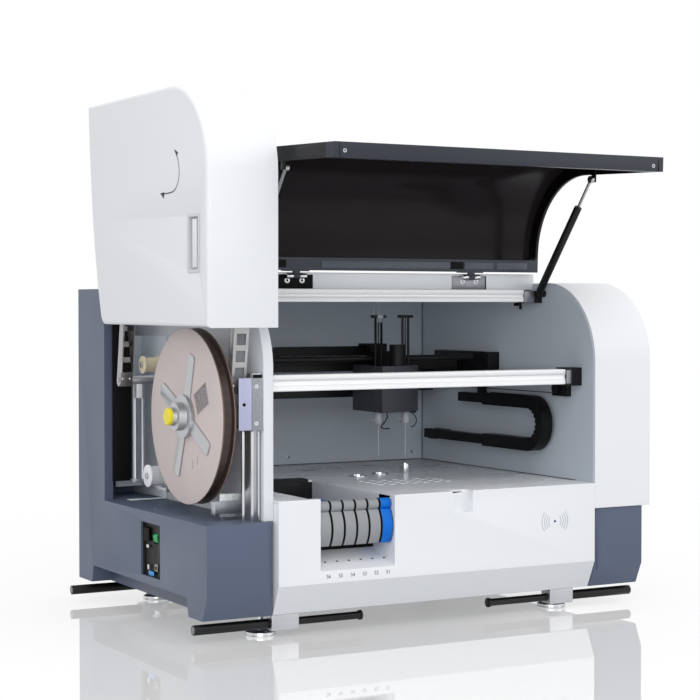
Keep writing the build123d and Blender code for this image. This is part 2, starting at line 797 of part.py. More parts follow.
# White crossbars between the bulkhead and the right wall
with BuildPart() as upper_crossbar:
    extrude(bar_profile(upper_bar_depth, upper_bar_z, groove / 2), amount=upper_bar_right - chamber_left)
save("upper_crossbar", upper_crossbar)

with BuildPart() as lower_crossbar:
    extrude(bar_profile(lower_bar_depth, lower_bar_z, groove), amount=bar_right - chamber_left)
save("lower_crossbar", lower_crossbar)

# End brackets of the crossbars, lower strut studs, lid sensor and front belt pulley bracket
with BuildPart() as crossbar_brackets:
    block((upper_bar_right, chamber_right), upper_bar_depth,
          (upper_bar_z[0] - sheet, upper_bar_z[1] - sheet))
    block((bar_right, chamber_right), (lower_bar_depth[0] - skin, lower_bar_depth[1] + skin),
          (lower_bar_z[0] - skin, lower_bar_z[1] + skin))
    block((belt_x[1] + sheet, chamber_right), (lower_bar_depth[1] + skin, pulley_front + 2 * pulley_radius),
          (belt_z - 2 * pulley_radius + sheet, belt_z + 2 * pulley_radius - sheet))
    rod((belt_x[1] + sheet, pulley_front, belt_z), (belt_x[0], pulley_front, belt_z), pin_radius)
    for strut_x, wall_face in zip(strut_xs, (chamber_left, chamber_right)):
        toward = 1 if strut_x > wall_face else -1
        rod((wall_face, *strut_base), (strut_x + toward * strut_socket / 2, *strut_base), pin_radius,
            bearing=True)
        rod((wall_face, *strut_base), (strut_x - toward * (strut_socket / 2 + gap), *strut_base),
            pin_radius + skin)
save("crossbar_brackets", crossbar_brackets)


def cover_side(x):
    """Side plane of the raised side cover: sketches are the lowered cover's depth and height."""
    return Plane(origin=(x, front + cover_shift_front, cover_shift_up), x_dir=(0, 1, 0), z_dir=(1, 0, 0))


def cover_point(x, depth, z):
    """Point of the raised side cover from the lowered cover's depth and height."""
    return (x, depth + cover_shift_front, z + cover_shift_up)


# White side cover, raised: arched front, top and outer side, open to the reel bay
cover_width = cover_half + left_cover_edge
with BuildSketch(cover_side(left_cover_edge)) as cover_outline:
    with BuildLine():
        Polyline((cover_rear_low, plinth_top), (0, plinth_top), (0, arch_rise))
        RadiusArc((0, arch_rise), (arch_radius, arch_top), arch_radius)
        Line((arch_radius, arch_top), cover_rear_edge[0])
        Spline(*cover_rear_edge, (cover_rear_low, plinth_top))
    make_face()
    fillet(cover_outline.vertices().group_by(Axis.Y)[0].sort_by(Axis.X)[-1], radius=block_corner)
handle_middle = (sum(handle_depth) / 2, sum(handle_height) / 2)
handle_size = (handle_depth[1] - handle_depth[0], handle_height[1] - handle_height[0])
with BuildPart() as side_cover:
    add(rounded_cover(cover_outline.sketch, -cover_width, plinth_top + cover_shift_up + skin,
                      front + cover_rear_low))
    add(rounded_cover(arch_face(cover_side(left_cover_edge), skin, 0, rear_depth), skin - cover_width,
                      cover_shift_up + skin, front + cover_rear_low, inside=True),
        mode=Mode.SUBTRACT)
    with BuildSketch(cover_side(-cover_half)):
        with Locations(handle_middle):
            RectangleRounded(handle_size[0] - 2 * skin, handle_size[1] - 2 * skin, sheet)
    extrude(amount=skin, mode=Mode.SUBTRACT)
save("side_cover", side_cover)

# Recessed silver handle in the side cover
with BuildPart() as side_cover_handle:
    with BuildSketch(cover_side(-cover_half)):
        with Locations(handle_middle):
            RectangleRounded(*handle_size, 2 * sheet)
    extrude(amount=-handle_bezel)
    with BuildSketch(cover_side(-cover_half)):
        with Locations(handle_middle):
            RectangleRounded(handle_size[0] - 2 * skin, handle_size[1] - 2 * skin, sheet)
    extrude(amount=handle_recess + sheet)
    with BuildSketch(cover_side(-cover_half - handle_bezel)):
        with Locations(handle_middle):
            Rectangle(handle_size[0] - 4 * skin, handle_size[1] - 4 * skin)
    extrude(amount=handle_bezel + handle_recess, mode=Mode.SUBTRACT)
save("side_cover_handle", side_cover_handle)

# Two parallel arms that carry the side cover
lean = radians(arm_lean)
arm_up = (-sin(lean), cos(lean))
arm_length = (cover_shift_front ** 2 + cover_shift_up ** 2) / (
    2 * (arm_up[0] * cover_shift_front + arm_up[1] * cover_shift_up))


def arm_top(lower_depth):
    """Depth and height of an arm's upper pivot with the cover raised."""
    return (lower_depth + arm_length * arm_up[0], arm_lower_z + arm_length * arm_up[1])


def arm(middle, width, lower_depth):
    """Perforated channel arm with its web in front and pin bores in both flanges."""
    place = Plane(origin=(middle, front + lower_depth, arm_lower_z), x_dir=(1, 0, 0),
                  z_dir=(0, -arm_up[1], arm_up[0]))
    with BuildPart() as piece:
        with BuildSketch(place.offset(-arm_depth / 2)):
            with Locations((0, arm_length / 2)):
                Rectangle(width, arm_length + 2 * arm_end)
        extrude(amount=arm_depth)
        chamfer(piece.edges().filter_by(Axis.X), length=arm_end / 2)
        with BuildSketch(place.offset(-arm_depth / 2)):
            with Locations((0, arm_length / 2)):
                Rectangle(width - 2 * arm_wall, arm_length + 2 * arm_end)
        extrude(amount=arm_depth - arm_wall, mode=Mode.SUBTRACT)
        with BuildSketch(place.offset(arm_depth / 2 - arm_wall)):
            with Locations((0, arm_length / 2)):
                with GridLocations(1, window_pitch, 1, window_count):
                    Rectangle(arm_depth, window_height)
        extrude(amount=arm_wall, mode=Mode.SUBTRACT)
        for pivot in ((lower_depth, arm_lower_z), arm_top(lower_depth)):
            rod((middle - width, *pivot), (middle + width, *pivot), pin_radius + run, mode=Mode.SUBTRACT)
    return piece


front_arm = arm(front_arm_x, front_arm_width, front_arm_depth)
save("front_arm", front_arm)
rear_arm = arm(rear_arm_x, rear_arm_width, rear_arm_depth)
save("rear_arm", rear_arm)

# Steel brackets and pins inside the side cover for the arms' upper ends
clevis_half = front_arm_width / 2 + gap
front_top = (arm_top(front_arm_depth)[0] - cover_shift_front, arm_top(front_arm_depth)[1] - cover_shift_up)
rear_top = (arm_top(rear_arm_depth)[0] - cover_shift_front, arm_top(rear_arm_depth)[1] - cover_shift_up)
with BuildPart() as side_cover_brackets:
    for toward in (-1, 1):
        inner = front_arm_x + toward * clevis_half
        outer = inner + toward * sheet
        low, high = (front_top[1] - clevis_root, front_top[1] + clevis_root)
        extrude(polygon(cover_side(inner), ((skin, low), (skin, high),
                                            (front_top[0], front_top[1] + clevis_tip),
                                            (front_top[0] + clevis_tip, front_top[1]),
                                            (front_top[0], front_top[1] - clevis_tip))),
                amount=toward * sheet)
        rod(cover_point(outer, *front_top), cover_point(outer + toward * reveal, *front_top), pin_cap_radius)
    block((front_arm_x - clevis_half - 4 * sheet, front_arm_x + clevis_half + 4 * sheet),
          (skin + cover_shift_front, skin + sheet + cover_shift_front),
          (low + cover_shift_up, high + cover_shift_up))
    rod(cover_point(front_arm_x - clevis_half - sheet, *front_top),
        cover_point(front_arm_x + clevis_half + sheet, *front_top), pin_radius, bearing=True)
    rear_face = rear_arm_x - rear_arm_width / 2 - gap
    rod(cover_point(skin - cover_half, *rear_top), cover_point(skin + sheet - cover_half, *rear_top),
        clevis_root)
    rod(cover_point(skin - cover_half, *rear_top), cover_point(rear_face, *rear_top), boss_radius)
    rod(cover_point(rear_face, *rear_top), cover_point(rear_face + rear_arm_width + 2 * gap, *rear_top),
        pin_radius, bearing=True)
save("side_cover_brackets", side_cover_brackets)

# Posts and pins that carry the arms' lower ends
post_left = front_arm_x + clevis_half + sheet
bulkhead_left = chamber_left - bulkhead_wall
shaft_end = rear_arm_x + rear_arm_width / 2 + gap
with BuildPart() as cover_pivot_posts:
    block((post_left, bulkhead_left), post_depth, post_z)
    block((post_left + sheet, bulkhead_left - sheet), (post_depth[0] + sheet, post_depth[0] + block_corner),
          (post_z[1], post_z[1] + 3 * skin))
    block((post_left + sheet, bulkhead_left), column_depth, (plinth_top, post_z[0]))
    for groove_depth in column_depth:
        block(((post_left + bulkhead_left - groove) / 2, (post_left + bulkhead_left + groove) / 2),
              (groove_depth - skin, groove_depth + skin), (plinth_top, post_z[0]), mode=Mode.SUBTRACT)
    rod((post_left, front_arm_depth, arm_lower_z),
        (front_arm_x - front_arm_width / 2 - sheet, front_arm_depth, arm_lower_z), pin_radius, bearing=True)
    rod((post_left, front_arm_depth, arm_lower_z),
        (front_arm_x + clevis_half, front_arm_depth, arm_lower_z), pin_cap_radius)
    block((post_left, bulkhead_left), (rear_arm_depth - arm_end, rear_arm_depth + arm_end),
          (arm_lower_z - 2 * arm_end, arm_lower_z + arm_end))
    rod((post_left, rear_arm_depth, arm_lower_z), (shaft_end, rear_arm_depth, arm_lower_z), boss_radius)
    rod((shaft_end, rear_arm_depth, arm_lower_z),
        (rear_arm_x - rear_arm_width / 2 - sheet, rear_arm_depth, arm_lower_z), pin_radius, bearing=True)
    block((guide_xs[0] - 2 * skin, bulkhead_left), (rear_arm_depth - arm_end, rear_arm_depth + arm_end),
          (guide_low - 2 * skin, guide_low))
    for guide_x in guide_xs:
        rod((guide_x, rear_arm_depth, guide_low), (guide_x, rear_arm_depth, arm_lower_z - boss_radius),
            guide_radius)
        block((guide_x - guide_radius, guide_x + guide_radius),
              (rear_arm_depth - guide_radius, rear_arm_depth + guide_radius),
              (arm_lower_z - 3 * arm_end, arm_lower_z))
save("cover_pivot_posts", cover_pivot_posts)


def ring(x, width, outer, inner=0.0):
    """Round disc or sleeve about the reel's axis, starting at x."""
    with BuildSketch(side(x)) as section_face:
        with Locations((reel_depth, reel_height)):
            disc(outer)
            if inner:
                disc(inner, mode=Mode.SUBTRACT)
    extrude(section_face.sketch, amount=width)


# Cuvette reel: two flanges with the wound cuvette tape between them
with BuildPart() as reel_spool:
    ring(reel_left, flange_wall, reel_radius, reel_bore)
    extrude(polygon(side(reel_left), reel_window), amount=flange_wall, mode=Mode.SUBTRACT)
    ring(reel_left + flange_wall, reel_width - 2 * flange_wall, tape_radius, reel_bore)
    ring(reel_left + reel_width - flange_wall, flange_wall, reel_radius, reel_bore)
save("reel_spool", reel_spool)

# Hub that clamps the reel: spider, stepped nose, core and rear collar on one bore
disc_left = reel_left - spider_wall - hub_disc
nose_left = disc_left - hub_nose
with BuildPart() as reel_hub:
    ring(reel_left - spider_wall, spider_wall, hub_radius)
    with BuildSketch(side(reel_left - spider_wall)):
        with Locations((reel_depth, reel_height)):
            for spider_angle in spider_angles:
                with Locations(Rotation(0, 0, 180 - spider_angle)):
                    with Locations((spider_reach / 2, 0)):
                        RectangleRounded(spider_reach, spider_arm, spider_arm / 4)
    extrude(amount=spider_wall)
    ring(disc_left, hub_disc, hub_radius)
    ring(nose_left, hub_nose, hub_nose_radius)
    ring(nose_left - hub_neck, hub_neck, hub_neck_radius)
    ring(reel_left, reel_width, reel_bore)
    ring(reel_left + reel_width, 2 * sheet, hub_radius)
    rod((nose_left, reel_depth, reel_height), (reel_left + reel_width + 2 * sheet, reel_depth, reel_height),
        spindle_radius + run, mode=Mode.SUBTRACT)
save("reel_hub", reel_hub)

# Yellow cap on the hub's nose
with BuildPart() as reel_cap:
    ring(nose_left - hub_neck - cap_width, cap_width, cap_radius)
    chamfer(reel_cap.edges().group_by(Axis.X)[0], length=sheet)
save("reel_cap", reel_cap)


def tape_roller(place, radius, core):
    """Flanged tape roller on a round axle bore, centred on a depth and height."""
    left, right = roller_x
    with BuildPart() as piece:
        rod((left, *place), (right, *place), core)
        for rim_left in (left, right - roller_flange):
            rod((rim_left, *place), (rim_left + roller_flange, *place), radius)
        rod((left, *place), (right, *place), strut_rod_radius + run, mode=Mode.SUBTRACT)
    return piece


roller_upper = tape_roller(roller_upper_place, roller_upper_radius, roller_upper_radius - skin)
save("roller_upper", roller_upper)
roller_lower = tape_roller(roller_lower_place, roller_lower_radius, roller_lower_radius - skin)
save("roller_lower", roller_lower)

# Reel carrier on the bulkhead: boss, spindle, roller axles, lower bracket and tape guide
with BuildPart() as reel_carrier:
    rod((bulkhead_left, reel_depth, reel_height), (bulkhead_left - carrier_boss, reel_depth, reel_height),
        hub_nose_radius + sheet)
    rod((bulkhead_left, reel_depth, reel_height),
        (reel_left + reel_width + 2 * sheet + gap, reel_depth, reel_height), 2 * spindle_radius)
    rod((bulkhead_left, reel_depth, reel_height), (nose_left + gap, reel_depth, reel_height), spindle_radius,
        bearing=True)
    for place in (roller_upper_place, roller_lower_place):
        rod((bulkhead_left, *place), (roller_x[1] + gap, *place), 2 * strut_rod_radius)
        rod((bulkhead_left, *place), (roller_x[0] - gap, *place), strut_rod_radius, bearing=True)
        rod((roller_x[0] - gap, *place), (roller_x[0] - gap - sheet, *place), 2 * strut_rod_radius)
    tray_reach = (roller_lower_place[0] - hub_radius, roller_lower_place[0] + hub_radius)
    block((guide_xs[1], bulkhead_left), tray_reach, (tray_z - sheet, tray_z))
    block((guide_xs[1], guide_xs[1] + sheet), tray_reach, (tray_z, tray_z + 2 * skin))
    block((guide_xs[0], post_left + sheet), (column_depth[1], column_depth[1] + 2 * sheet),
          (plinth_top + arm_end, plinth_top + 3 * arm_end))
    block((guide_xs[0], guide_xs[0] + sheet), (column_depth[1] - arm_end, column_depth[1] + 2 * sheet),
          (plinth_top + arm_end, plinth_top + 3 * arm_end))
save("reel_carrier", reel_carrier)

# Guide rails of the gantry, toothed belt, pulleys and motor
motor_right = belt_x[0] - 2 * sheet
motor_depth = (pulley_back - motor_size / 2, pulley_back + motor_size / 2)
with BuildPart() as y_axis_unit:
    block((chamber_right - rail_x, chamber_right), rail_depth_range, rail_z)
    block((chamber_left, chamber_left + rail_x), rail_depth_range, rail_z)
    with BuildSketch(side(belt_x[0])):
        with Locations(((pulley_front + pulley_back) / 2, belt_z)):
            SlotCenterToCenter(pulley_back - pulley_front, 2 * (pulley_radius + belt_wall))
            SlotCenterToCenter(pulley_back - pulley_front, 2 * pulley_radius, mode=Mode.SUBTRACT)
    extrude(amount=belt_x[1] - belt_x[0])
    rod((belt_x[0], pulley_back, belt_z), (belt_x[1], pulley_back, belt_z), pulley_radius)
    rod((belt_x[0], pulley_front, belt_z), (belt_x[1], pulley_front, belt_z), pulley_radius)
    rod((belt_x[0], pulley_front, belt_z), (belt_x[1], pulley_front, belt_z), pin_radius, mode=Mode.SUBTRACT)
    rod((belt_x[0], pulley_back, belt_z), (motor_right, pulley_back, belt_z), pin_radius)
    block((motor_right - motor_size, motor_right), motor_depth,
          (belt_z - motor_size / 2, belt_z + motor_size / 2))
    block((motor_right - motor_size, chamber_right), motor_depth,
          (belt_z - motor_size / 2 - skin, belt_z - motor_size / 2))
save("y_axis_unit", y_axis_unit)


def chain_leg(plane, length, height, width, wide_open):
    """Straight part of a chain bend as a channel, open along one side when wide_open is set."""
    with BuildPart() as leg:
        with BuildSketch(plane):
            with Locations((length / 2, 0)):
                Rectangle(length, height)
        extrude(amount=width / 2, both=True)
        with BuildSketch(plane):
            with Locations(((length + chain_wall) / 2, wide_open * chain_wall / 2)):
                Rectangle(length - chain_wall, height - 2 * chain_wall + abs(wide_open) * chain_wall)
        extrude(amount=width / 2 - chain_wall, both=True, mode=Mode.SUBTRACT)
    return leg.part


def chain_bend(plane, length, height, width, radius):
    """Bend of an energy chain with links along its inside and its two channel legs behind it."""
    with BuildPart() as bend:
        with BuildSketch(plane):
            Circle(radius + height / 2)
            with Locations((radius, 0)):
                Rectangle(2 * radius, 4 * radius, mode=Mode.SUBTRACT)
            Circle(radius - height / 2 + link_notch, mode=Mode.SUBTRACT)
        extrude(amount=width / 2, both=True)
        with BuildSketch(plane):
            with PolarLocations(radius - height / 2 + link_notch / 2, link_count, start_angle=link_start,
                                angular_range=link_range):
                Rectangle(link_notch, link_size)
        extrude(amount=width / 2, both=True)
        with BuildSketch(plane):
            with Locations((link_size / 2, -radius + height / 2 - link_notch / 2),
                           (link_size / 2, radius - height / 2 + link_notch / 2)):
                Rectangle(link_size, link_notch)
        extrude(amount=width / 2, both=True)
        for leg_y, wide_open in ((radius, 1), (-radius, 0)):
            leg_plane = plane.shift_origin(plane.from_local_coords((0, leg_y, 0)))
            add(chain_leg(leg_plane, length, height, width, wide_open))
    return bend


# Front-to-back energy chain on the right wall: bend with legs, and its fixed lower run
y_chain_middle = sum(y_chain_x) / 2
y_chain_width = y_chain_x[1] - y_chain_x[0]
y_bend_depth = y_chain_front + y_chain_radius + y_chain_height / 2
y_bend_z = y_chain_top - y_chain_radius
y_chain_low = y_chain_top - 2 * y_chain_radius
y_run_half = y_chain_height / 2 - chain_wall - gap
y_bend_plane = side(y_chain_middle).shift_origin((y_chain_middle, front + y_bend_depth, y_bend_z))
y_chain_bend = chain_bend(y_bend_plane, y_chain_leg, y_chain_height, y_chain_width, y_chain_radius)
save("y_chain_bend", y_chain_bend)

with BuildPart() as y_chain_fixed:
    block((y_chain_middle - y_run_half, y_chain_middle + y_run_half), (y_fixed_front, y_chain_anchor),
          (y_chain_low - y_run_half, y_chain_low + y_run_half))
    block((y_chain_middle, chamber_right), (y_chain_anchor - block_depth, y_chain_anchor),
          (y_chain_low - y_run_half - skin, y_chain_low - y_run_half))
    block((chamber_right - skin, chamber_right), (y_chain_anchor - 2 * block_depth, y_chain_anchor),
          (y_chain_low - y_run_half - skin, y_chain_low + y_run_half))
save("y_chain_fixed", y_chain_fixed)

# Gantry bridge: two carriages on the rails, beam and guide shaft between them
right_carriage = (chamber_right - reveal - carriage_width, chamber_right - reveal)
left_carriage = (chamber_left + reveal, chamber_left + reveal + carriage_width)
carriage_z = (rail_z[1] + gap, carriage_top)
with BuildPart() as bridge_beam:
    for carriage_x in (left_carriage, right_carriage):
        block(carriage_x, carriage_depth, carriage_z)
    block((left_carriage[1], right_carriage[0]), beam_depth, beam_z)
    rod((left_carriage[1], shaft_depth, shaft_z), (right_carriage[0], shaft_depth, shaft_z), shaft_radius)
    block(belt_x, (shaft_depth - block_depth, shaft_depth),
          (belt_z + pulley_radius + belt_wall + gap, carriage_z[0]))
save("bridge_beam", bridge_beam)

# Chain runs that ride on the bridge: upper run of one chain, lower run of the other
x_chain_middle = sum(x_chain_depth) / 2
x_chain_width = x_chain_depth[1] - x_chain_depth[0]
x_run_half = x_chain_height / 2 - chain_wall - gap
x_chain_low = x_chain_top - 2 * x_chain_radius
x_run_depth = (x_chain_middle - x_run_half - gap, x_chain_middle + x_run_half + gap)
with BuildPart() as bridge_chain_runs:
    block((y_chain_middle - y_run_half, y_chain_middle + y_run_half), y_moving_run,
          (y_chain_top - y_run_half, y_chain_top + y_run_half))
    block(y_neck_x, y_neck_depth, (y_chain_top + y_run_half, carriage_z[0]))
    block((x_fixed_left, right_carriage[0]), x_run_depth,
          (x_chain_low - x_run_half, x_chain_low + x_run_half))
    block((right_carriage[0] - skin, right_carriage[1] - carriage_width / 2),
          (x_chain_middle - x_run_half, x_chain_middle + x_run_half),
          (x_chain_low + x_run_half, carriage_z[0]))
save("bridge_chain_runs", bridge_chain_runs)

# Left-to-right energy chain behind the beam: bend with legs, and the run that the head carries
x_bend_x = x_chain_left + x_chain_radius + x_chain_height / 2
x_bend_z = x_chain_top - x_chain_radius
x_chain_bend = chain_bend(Plane(origin=(x_bend_x, front + x_chain_middle, x_bend_z), x_dir=(1, 0, 0),
                                z_dir=(0, -1, 0)),
                          x_chain_leg, x_chain_height, x_chain_width, x_chain_radius)
save("x_chain_bend", x_chain_bend)

plate_low = x_chain_top + x_chain_height / 2 + sheet
with BuildPart() as x_chain_moving:
    block(x_moving_run, x_run_depth, (x_chain_top - x_run_half, x_chain_top + x_run_half))
    block(x_neck_x, (x_chain_middle - 2 * sheet, x_chain_middle + 2 * sheet),
          (x_chain_top + x_run_half, plate_low))
    block(x_neck_x, (head_depth[1] - head_skin, x_chain_middle + 2 * sheet),
          (plate_low, plate_low + 2 * sheet))
    block(x_neck_x, (head_depth[1] - head_skin, head_depth[1]), (head_z[1], plate_low))
save("x_chain_moving", x_chain_moving)


def head_face(inset):
    """Plan outline of the sampling head with its curved front, set in by a wall."""
    with BuildSketch(plan(head_z[0])) as outline:
        with BuildLine():
            Polyline((head_x[1] - inset, head_curve_back + inset), (head_x[1] - inset, head_depth[1]),
                     (head_x[0] + inset, head_depth[1]), (head_x[0] + inset, head_depth[0] + inset))
            RadiusArc((head_x[0] + inset, head_depth[0] + inset),
                      (head_x[1] - inset, head_curve_back + inset), -head_curve)
        make_face()
    return outline.sketch


# Sampling head: chassis with probe bores, bearing block on the shaft, shoe on the beam, drive knob
bearing_depth = (shaft_depth - head_skin, shaft_depth + head_skin)
with BuildPart() as head_block:
    extrude(head_face(skin), amount=head_z[1] - head_z[0])
    block(bearing_x, bearing_depth, (head_z[1], shaft_z + head_skin))
    rod((head_x[0], shaft_depth, shaft_z), (head_x[1], shaft_depth, shaft_z), shaft_radius + run,
        mode=Mode.SUBTRACT)
    block(bearing_x, (head_depth[1], beam_depth[0] - gap), (beam_z[0], head_z[1]))
    rod((sum(head_x) / 2 - knob_offset, knob_depth, head_z[1]),
        (sum(head_x) / 2 - knob_offset, knob_depth, head_z[1] + knob_height), knob_radius)
    for probe_x in probe_xs:
        for rod_offset in (-probe_rod_offset, probe_rod_offset):
            rod((probe_x + rod_offset, probe_depth, probe_rod_low - probe_down - skin),
                (probe_x + rod_offset, probe_depth, head_z[1]), probe_rod_radius + run, mode=Mode.SUBTRACT)
        rod((probe_x, probe_depth, head_z[0]), (probe_x, probe_depth, head_z[1]), needle_radius + run,
            mode=Mode.SUBTRACT)
save("head_block", head_block)

with BuildPart() as head_cover:
    extrude(head_face(0), amount=head_z[1] - head_z[0])
    extrude(head_face(skin), amount=head_z[1] - head_z[0], mode=Mode.SUBTRACT)
save("head_cover", head_cover)

# Wash barrels around the probes under the head
with BuildPart() as wash_stations:
    for probe_x in probe_xs:
        rod((probe_x, probe_depth, wash_bottom), (probe_x, probe_depth, head_z[0]), wash_radius)
        rod((probe_x, probe_depth, wash_bottom + wash_radius),
            (probe_x - 2 * wash_radius, probe_depth, wash_bottom + wash_radius), needle_radius)
        rod((probe_x, probe_depth, wash_bottom), (probe_x, probe_depth, head_z[0]), needle_radius + run,
            mode=Mode.SUBTRACT)
save("wash_stations", wash_stations)

# Probes: top plate, two guide rods and a needle each
for probe_name, probe_x in zip(("left", "right"), probe_xs):
    with BuildPart() as probe:
        block((probe_x - probe_plate[0] / 2, probe_x + probe_plate[0] / 2),
              (probe_depth - probe_plate[1] / 2, probe_depth + probe_plate[1] / 2),
              (probe_top - probe_plate[2], probe_top))
        for rod_offset in (-probe_rod_offset, probe_rod_offset):
            rod((probe_x + rod_offset, probe_depth, probe_rod_low),
                (probe_x + rod_offset, probe_depth, probe_top - probe_plate[2]), probe_rod_radius)
        rod((probe_x, probe_depth, needle_tip), (probe_x, probe_depth, probe_top), needle_radius)
    save("probe_" + probe_name, probe)

# Sample racks: barrel-fronted handles on long troughs with tube stations
rack_low = bay_floor + gap
for lane in range(rack_count):
    rack_left = rack_window_left + lane * rack_pitch + (rack_pitch - rack_width) / 2
    rack_right = rack_left + rack_width
    roll_z = barrel_top + roll_radius - reveal
    with BuildPart() as rack:
        with BuildSketch(side(rack_left)):
            with BuildLine():
                Polyline((barrel_foot, rack_bottom), (barrel_back, rack_bottom), (barrel_back, barrel_top),
                         (barrel_foot, barrel_top))
                ThreePointArc((barrel_foot, barrel_top), (rack_front, (rack_bottom + barrel_top) / 2),
                              (barrel_foot, rack_bottom))
            make_face()
        extrude(amount=rack_width)
        rod((rack_left, roll_depth, roll_z), (rack_right, roll_depth, roll_z), roll_radius)
        block((rack_left + reveal, rack_right - reveal),
              (roll_depth - roll_radius / 2, roll_depth + roll_radius / 2),
              (barrel_top - reveal, barrel_top + roll_radius))
        block((rack_left, rack_right), (barrel_back, rack_front + rack_length), (rack_low, rack_body_top))
        block((rack_left + rack_wall, rack_right - rack_wall),
              (barrel_back + rack_wall, rack_front + rack_length - rack_wall),
              (rack_low + rack_wall, rack_body_top), mode=Mode.SUBTRACT)
        for station in range(1, station_count):
            station_depth = barrel_back + rack_wall + station * station_pitch
            for wall_x in (rack_left + rack_wall, rack_right - rack_wall - rack_rib):
                block((wall_x, wall_x + rack_rib), (station_depth, station_depth + rack_rib),
                      (rack_low + rack_wall, rack_body_top))
    save(f"rack_{lane + 1}", rack)


def carry_bar(outer_end, toward, depth):
    """Carry bar from its outer end inwards: grip, bar and inner stop."""
    with BuildPart() as piece:
        rod((outer_end, depth, bar_z), (outer_end + toward * grip_length, depth, bar_z), grip_radius)
        rod((outer_end, depth, bar_z), (outer_end + toward * carry_length, depth, bar_z), bar_radius)
        rod((outer_end + toward * (carry_length - stop_length), depth, bar_z),
            (outer_end + toward * carry_length, depth, bar_z), grip_radius)
    return piece


# Four carry bars that slide in blocks under the base
carry_bars = {
    "carry_bar_front_left": (left_front_end, 1, front_bar_depth),
    "carry_bar_front_right": (right_front_end, -1, front_bar_depth),
    "carry_bar_rear_left": (-rear_end, 1, rear_bar_depth),
    "carry_bar_rear_right": (rear_end, -1, rear_bar_depth),
}
for bar_name, (outer_end, toward, bar_depth) in carry_bars.items():
    save(bar_name, carry_bar(outer_end, toward, bar_depth))

with BuildPart() as carry_bar_blocks:
    for outer_end, toward, bar_depth in carry_bars.values():
        block_start = outer_end + toward * (grip_length + reveal)
        block((block_start, block_start + toward * block_length),
              (bar_depth - block_depth / 2, bar_depth + block_depth / 2), (block_low, body_bottom))
        rod((block_start, bar_depth, bar_z), (block_start + toward * block_length, bar_depth, bar_z),
            bar_radius + run, mode=Mode.SUBTRACT)
save("carry_bar_blocks", carry_bar_blocks)

# Levelling feet with studs and lock nuts
with BuildPart() as levelling_feet:
    for foot_x, foot_depth in foot_places:
        rod((foot_x, foot_depth, 0), (foot_x, foot_depth, foot_rim), foot_radius)
        with BuildSketch(plan(foot_rim)):
            with Locations((foot_x, foot_depth)):
                RegularPolygon(foot_radius, middle_sides, major_radius=False)
        extrude(amount=foot_cone - foot_rim,
                taper=degrees(atan2(foot_radius - foot_neck, foot_cone - foot_rim)))
        rod((foot_x, foot_depth, foot_cone), (foot_x, foot_depth, body_bottom), foot_stud)
        with BuildSketch(plan(body_bottom)):
            with Locations((foot_x, foot_depth)):
                RegularPolygon(foot_neck, 6)
        extrude(amount=-foot_nut)
save("levelling_feet", levelling_feet)

# Connection panel behind the opening in the base's left side: switch housing and four sockets
io_wall_left = base_wall - base_half
io_plate_left = io_recess - base_half
io_plate_right = io_plate_left + sheet
with BuildPart() as io_panel:
    block((io_wall_left, io_plate_right), (io_front - base_wall, io_back + base_wall),
          (io_low - base_wall, io_high + base_wall))
    block((io_wall_left, io_plate_left), (io_front, io_back), (io_low, io_high), mode=Mode.SUBTRACT)
    block((io_plate_right, io_plate_right + switch_deep),
          (switch_place[0] - switch_size / 2 - sheet, switch_place[0] + switch_size / 2 + sheet),
          (switch_place[1] - switch_size / 2 - sheet, switch_place[1] + switch_size / 2 + sheet))
    block((io_plate_left, io_plate_right + switch_deep),
          (switch_place[0] - switch_size / 2, switch_place[0] + switch_size / 2),
          (switch_place[1] - switch_size / 2, switch_place[1] + switch_size / 2), mode=Mode.SUBTRACT)
    rod((io_plate_right + switch_deep / 2, switch_place[0] - switch_size, switch_place[1]),
        (io_plate_right + switch_deep / 2, switch_place[0] + switch_size, switch_place[1]),
        switch_pin + run, mode=Mode.SUBTRACT)
    for socket_depth, socket_z, socket_wide, socket_high in sockets:
        block((io_plate_left, io_plate_right + switch_deep / 2),
              (socket_depth - socket_wide / 2, socket_depth + socket_wide / 2),
              (socket_z - socket_high / 2, socket_z + socket_high / 2))
        block((io_plate_left, io_plate_right + sheet),
              (socket_depth - socket_wide / 2 + sheet, socket_depth + socket_wide / 2 - sheet),
              (socket_z - socket_high / 2 + sheet, socket_z + socket_high / 2 - sheet), mode=Mode.SUBTRACT)
save("io_panel", io_panel)

# Green rocker of the power switch
switch_x = io_plate_right + switch_deep / 2
rocker_half = switch_size / 2 - gap
with BuildPart() as power_switch:
    rod((switch_x, switch_place[0] - rocker_half, switch_place[1]),
        (switch_x, switch_place[0] + rocker_half, switch_place[1]), rocker_half, bearing=True)
    with BuildSketch(Plane(origin=(switch_x, front + switch_place[0], switch_place[1]), x_dir=(1, 0, 0),
                           z_dir=(0, -1, 0))):
        with Locations(Rotation(0, 0, switch_tilt)):
            with Locations((-rocker_face - rocker_half, 0), (rocker_face + rocker_half, 0)):
                Rectangle(2 * rocker_half, 4 * rocker_half)
    extrude(amount=2 * rocker_half, both=True, mode=Mode.SUBTRACT)
    rod((switch_x, switch_place[0] - rocker_half - sheet / 2, switch_place[1]),
        (switch_x, switch_place[0] + rocker_half + sheet / 2, switch_place[1]), switch_pin, bearing=True)
save("power_switch", power_switch)

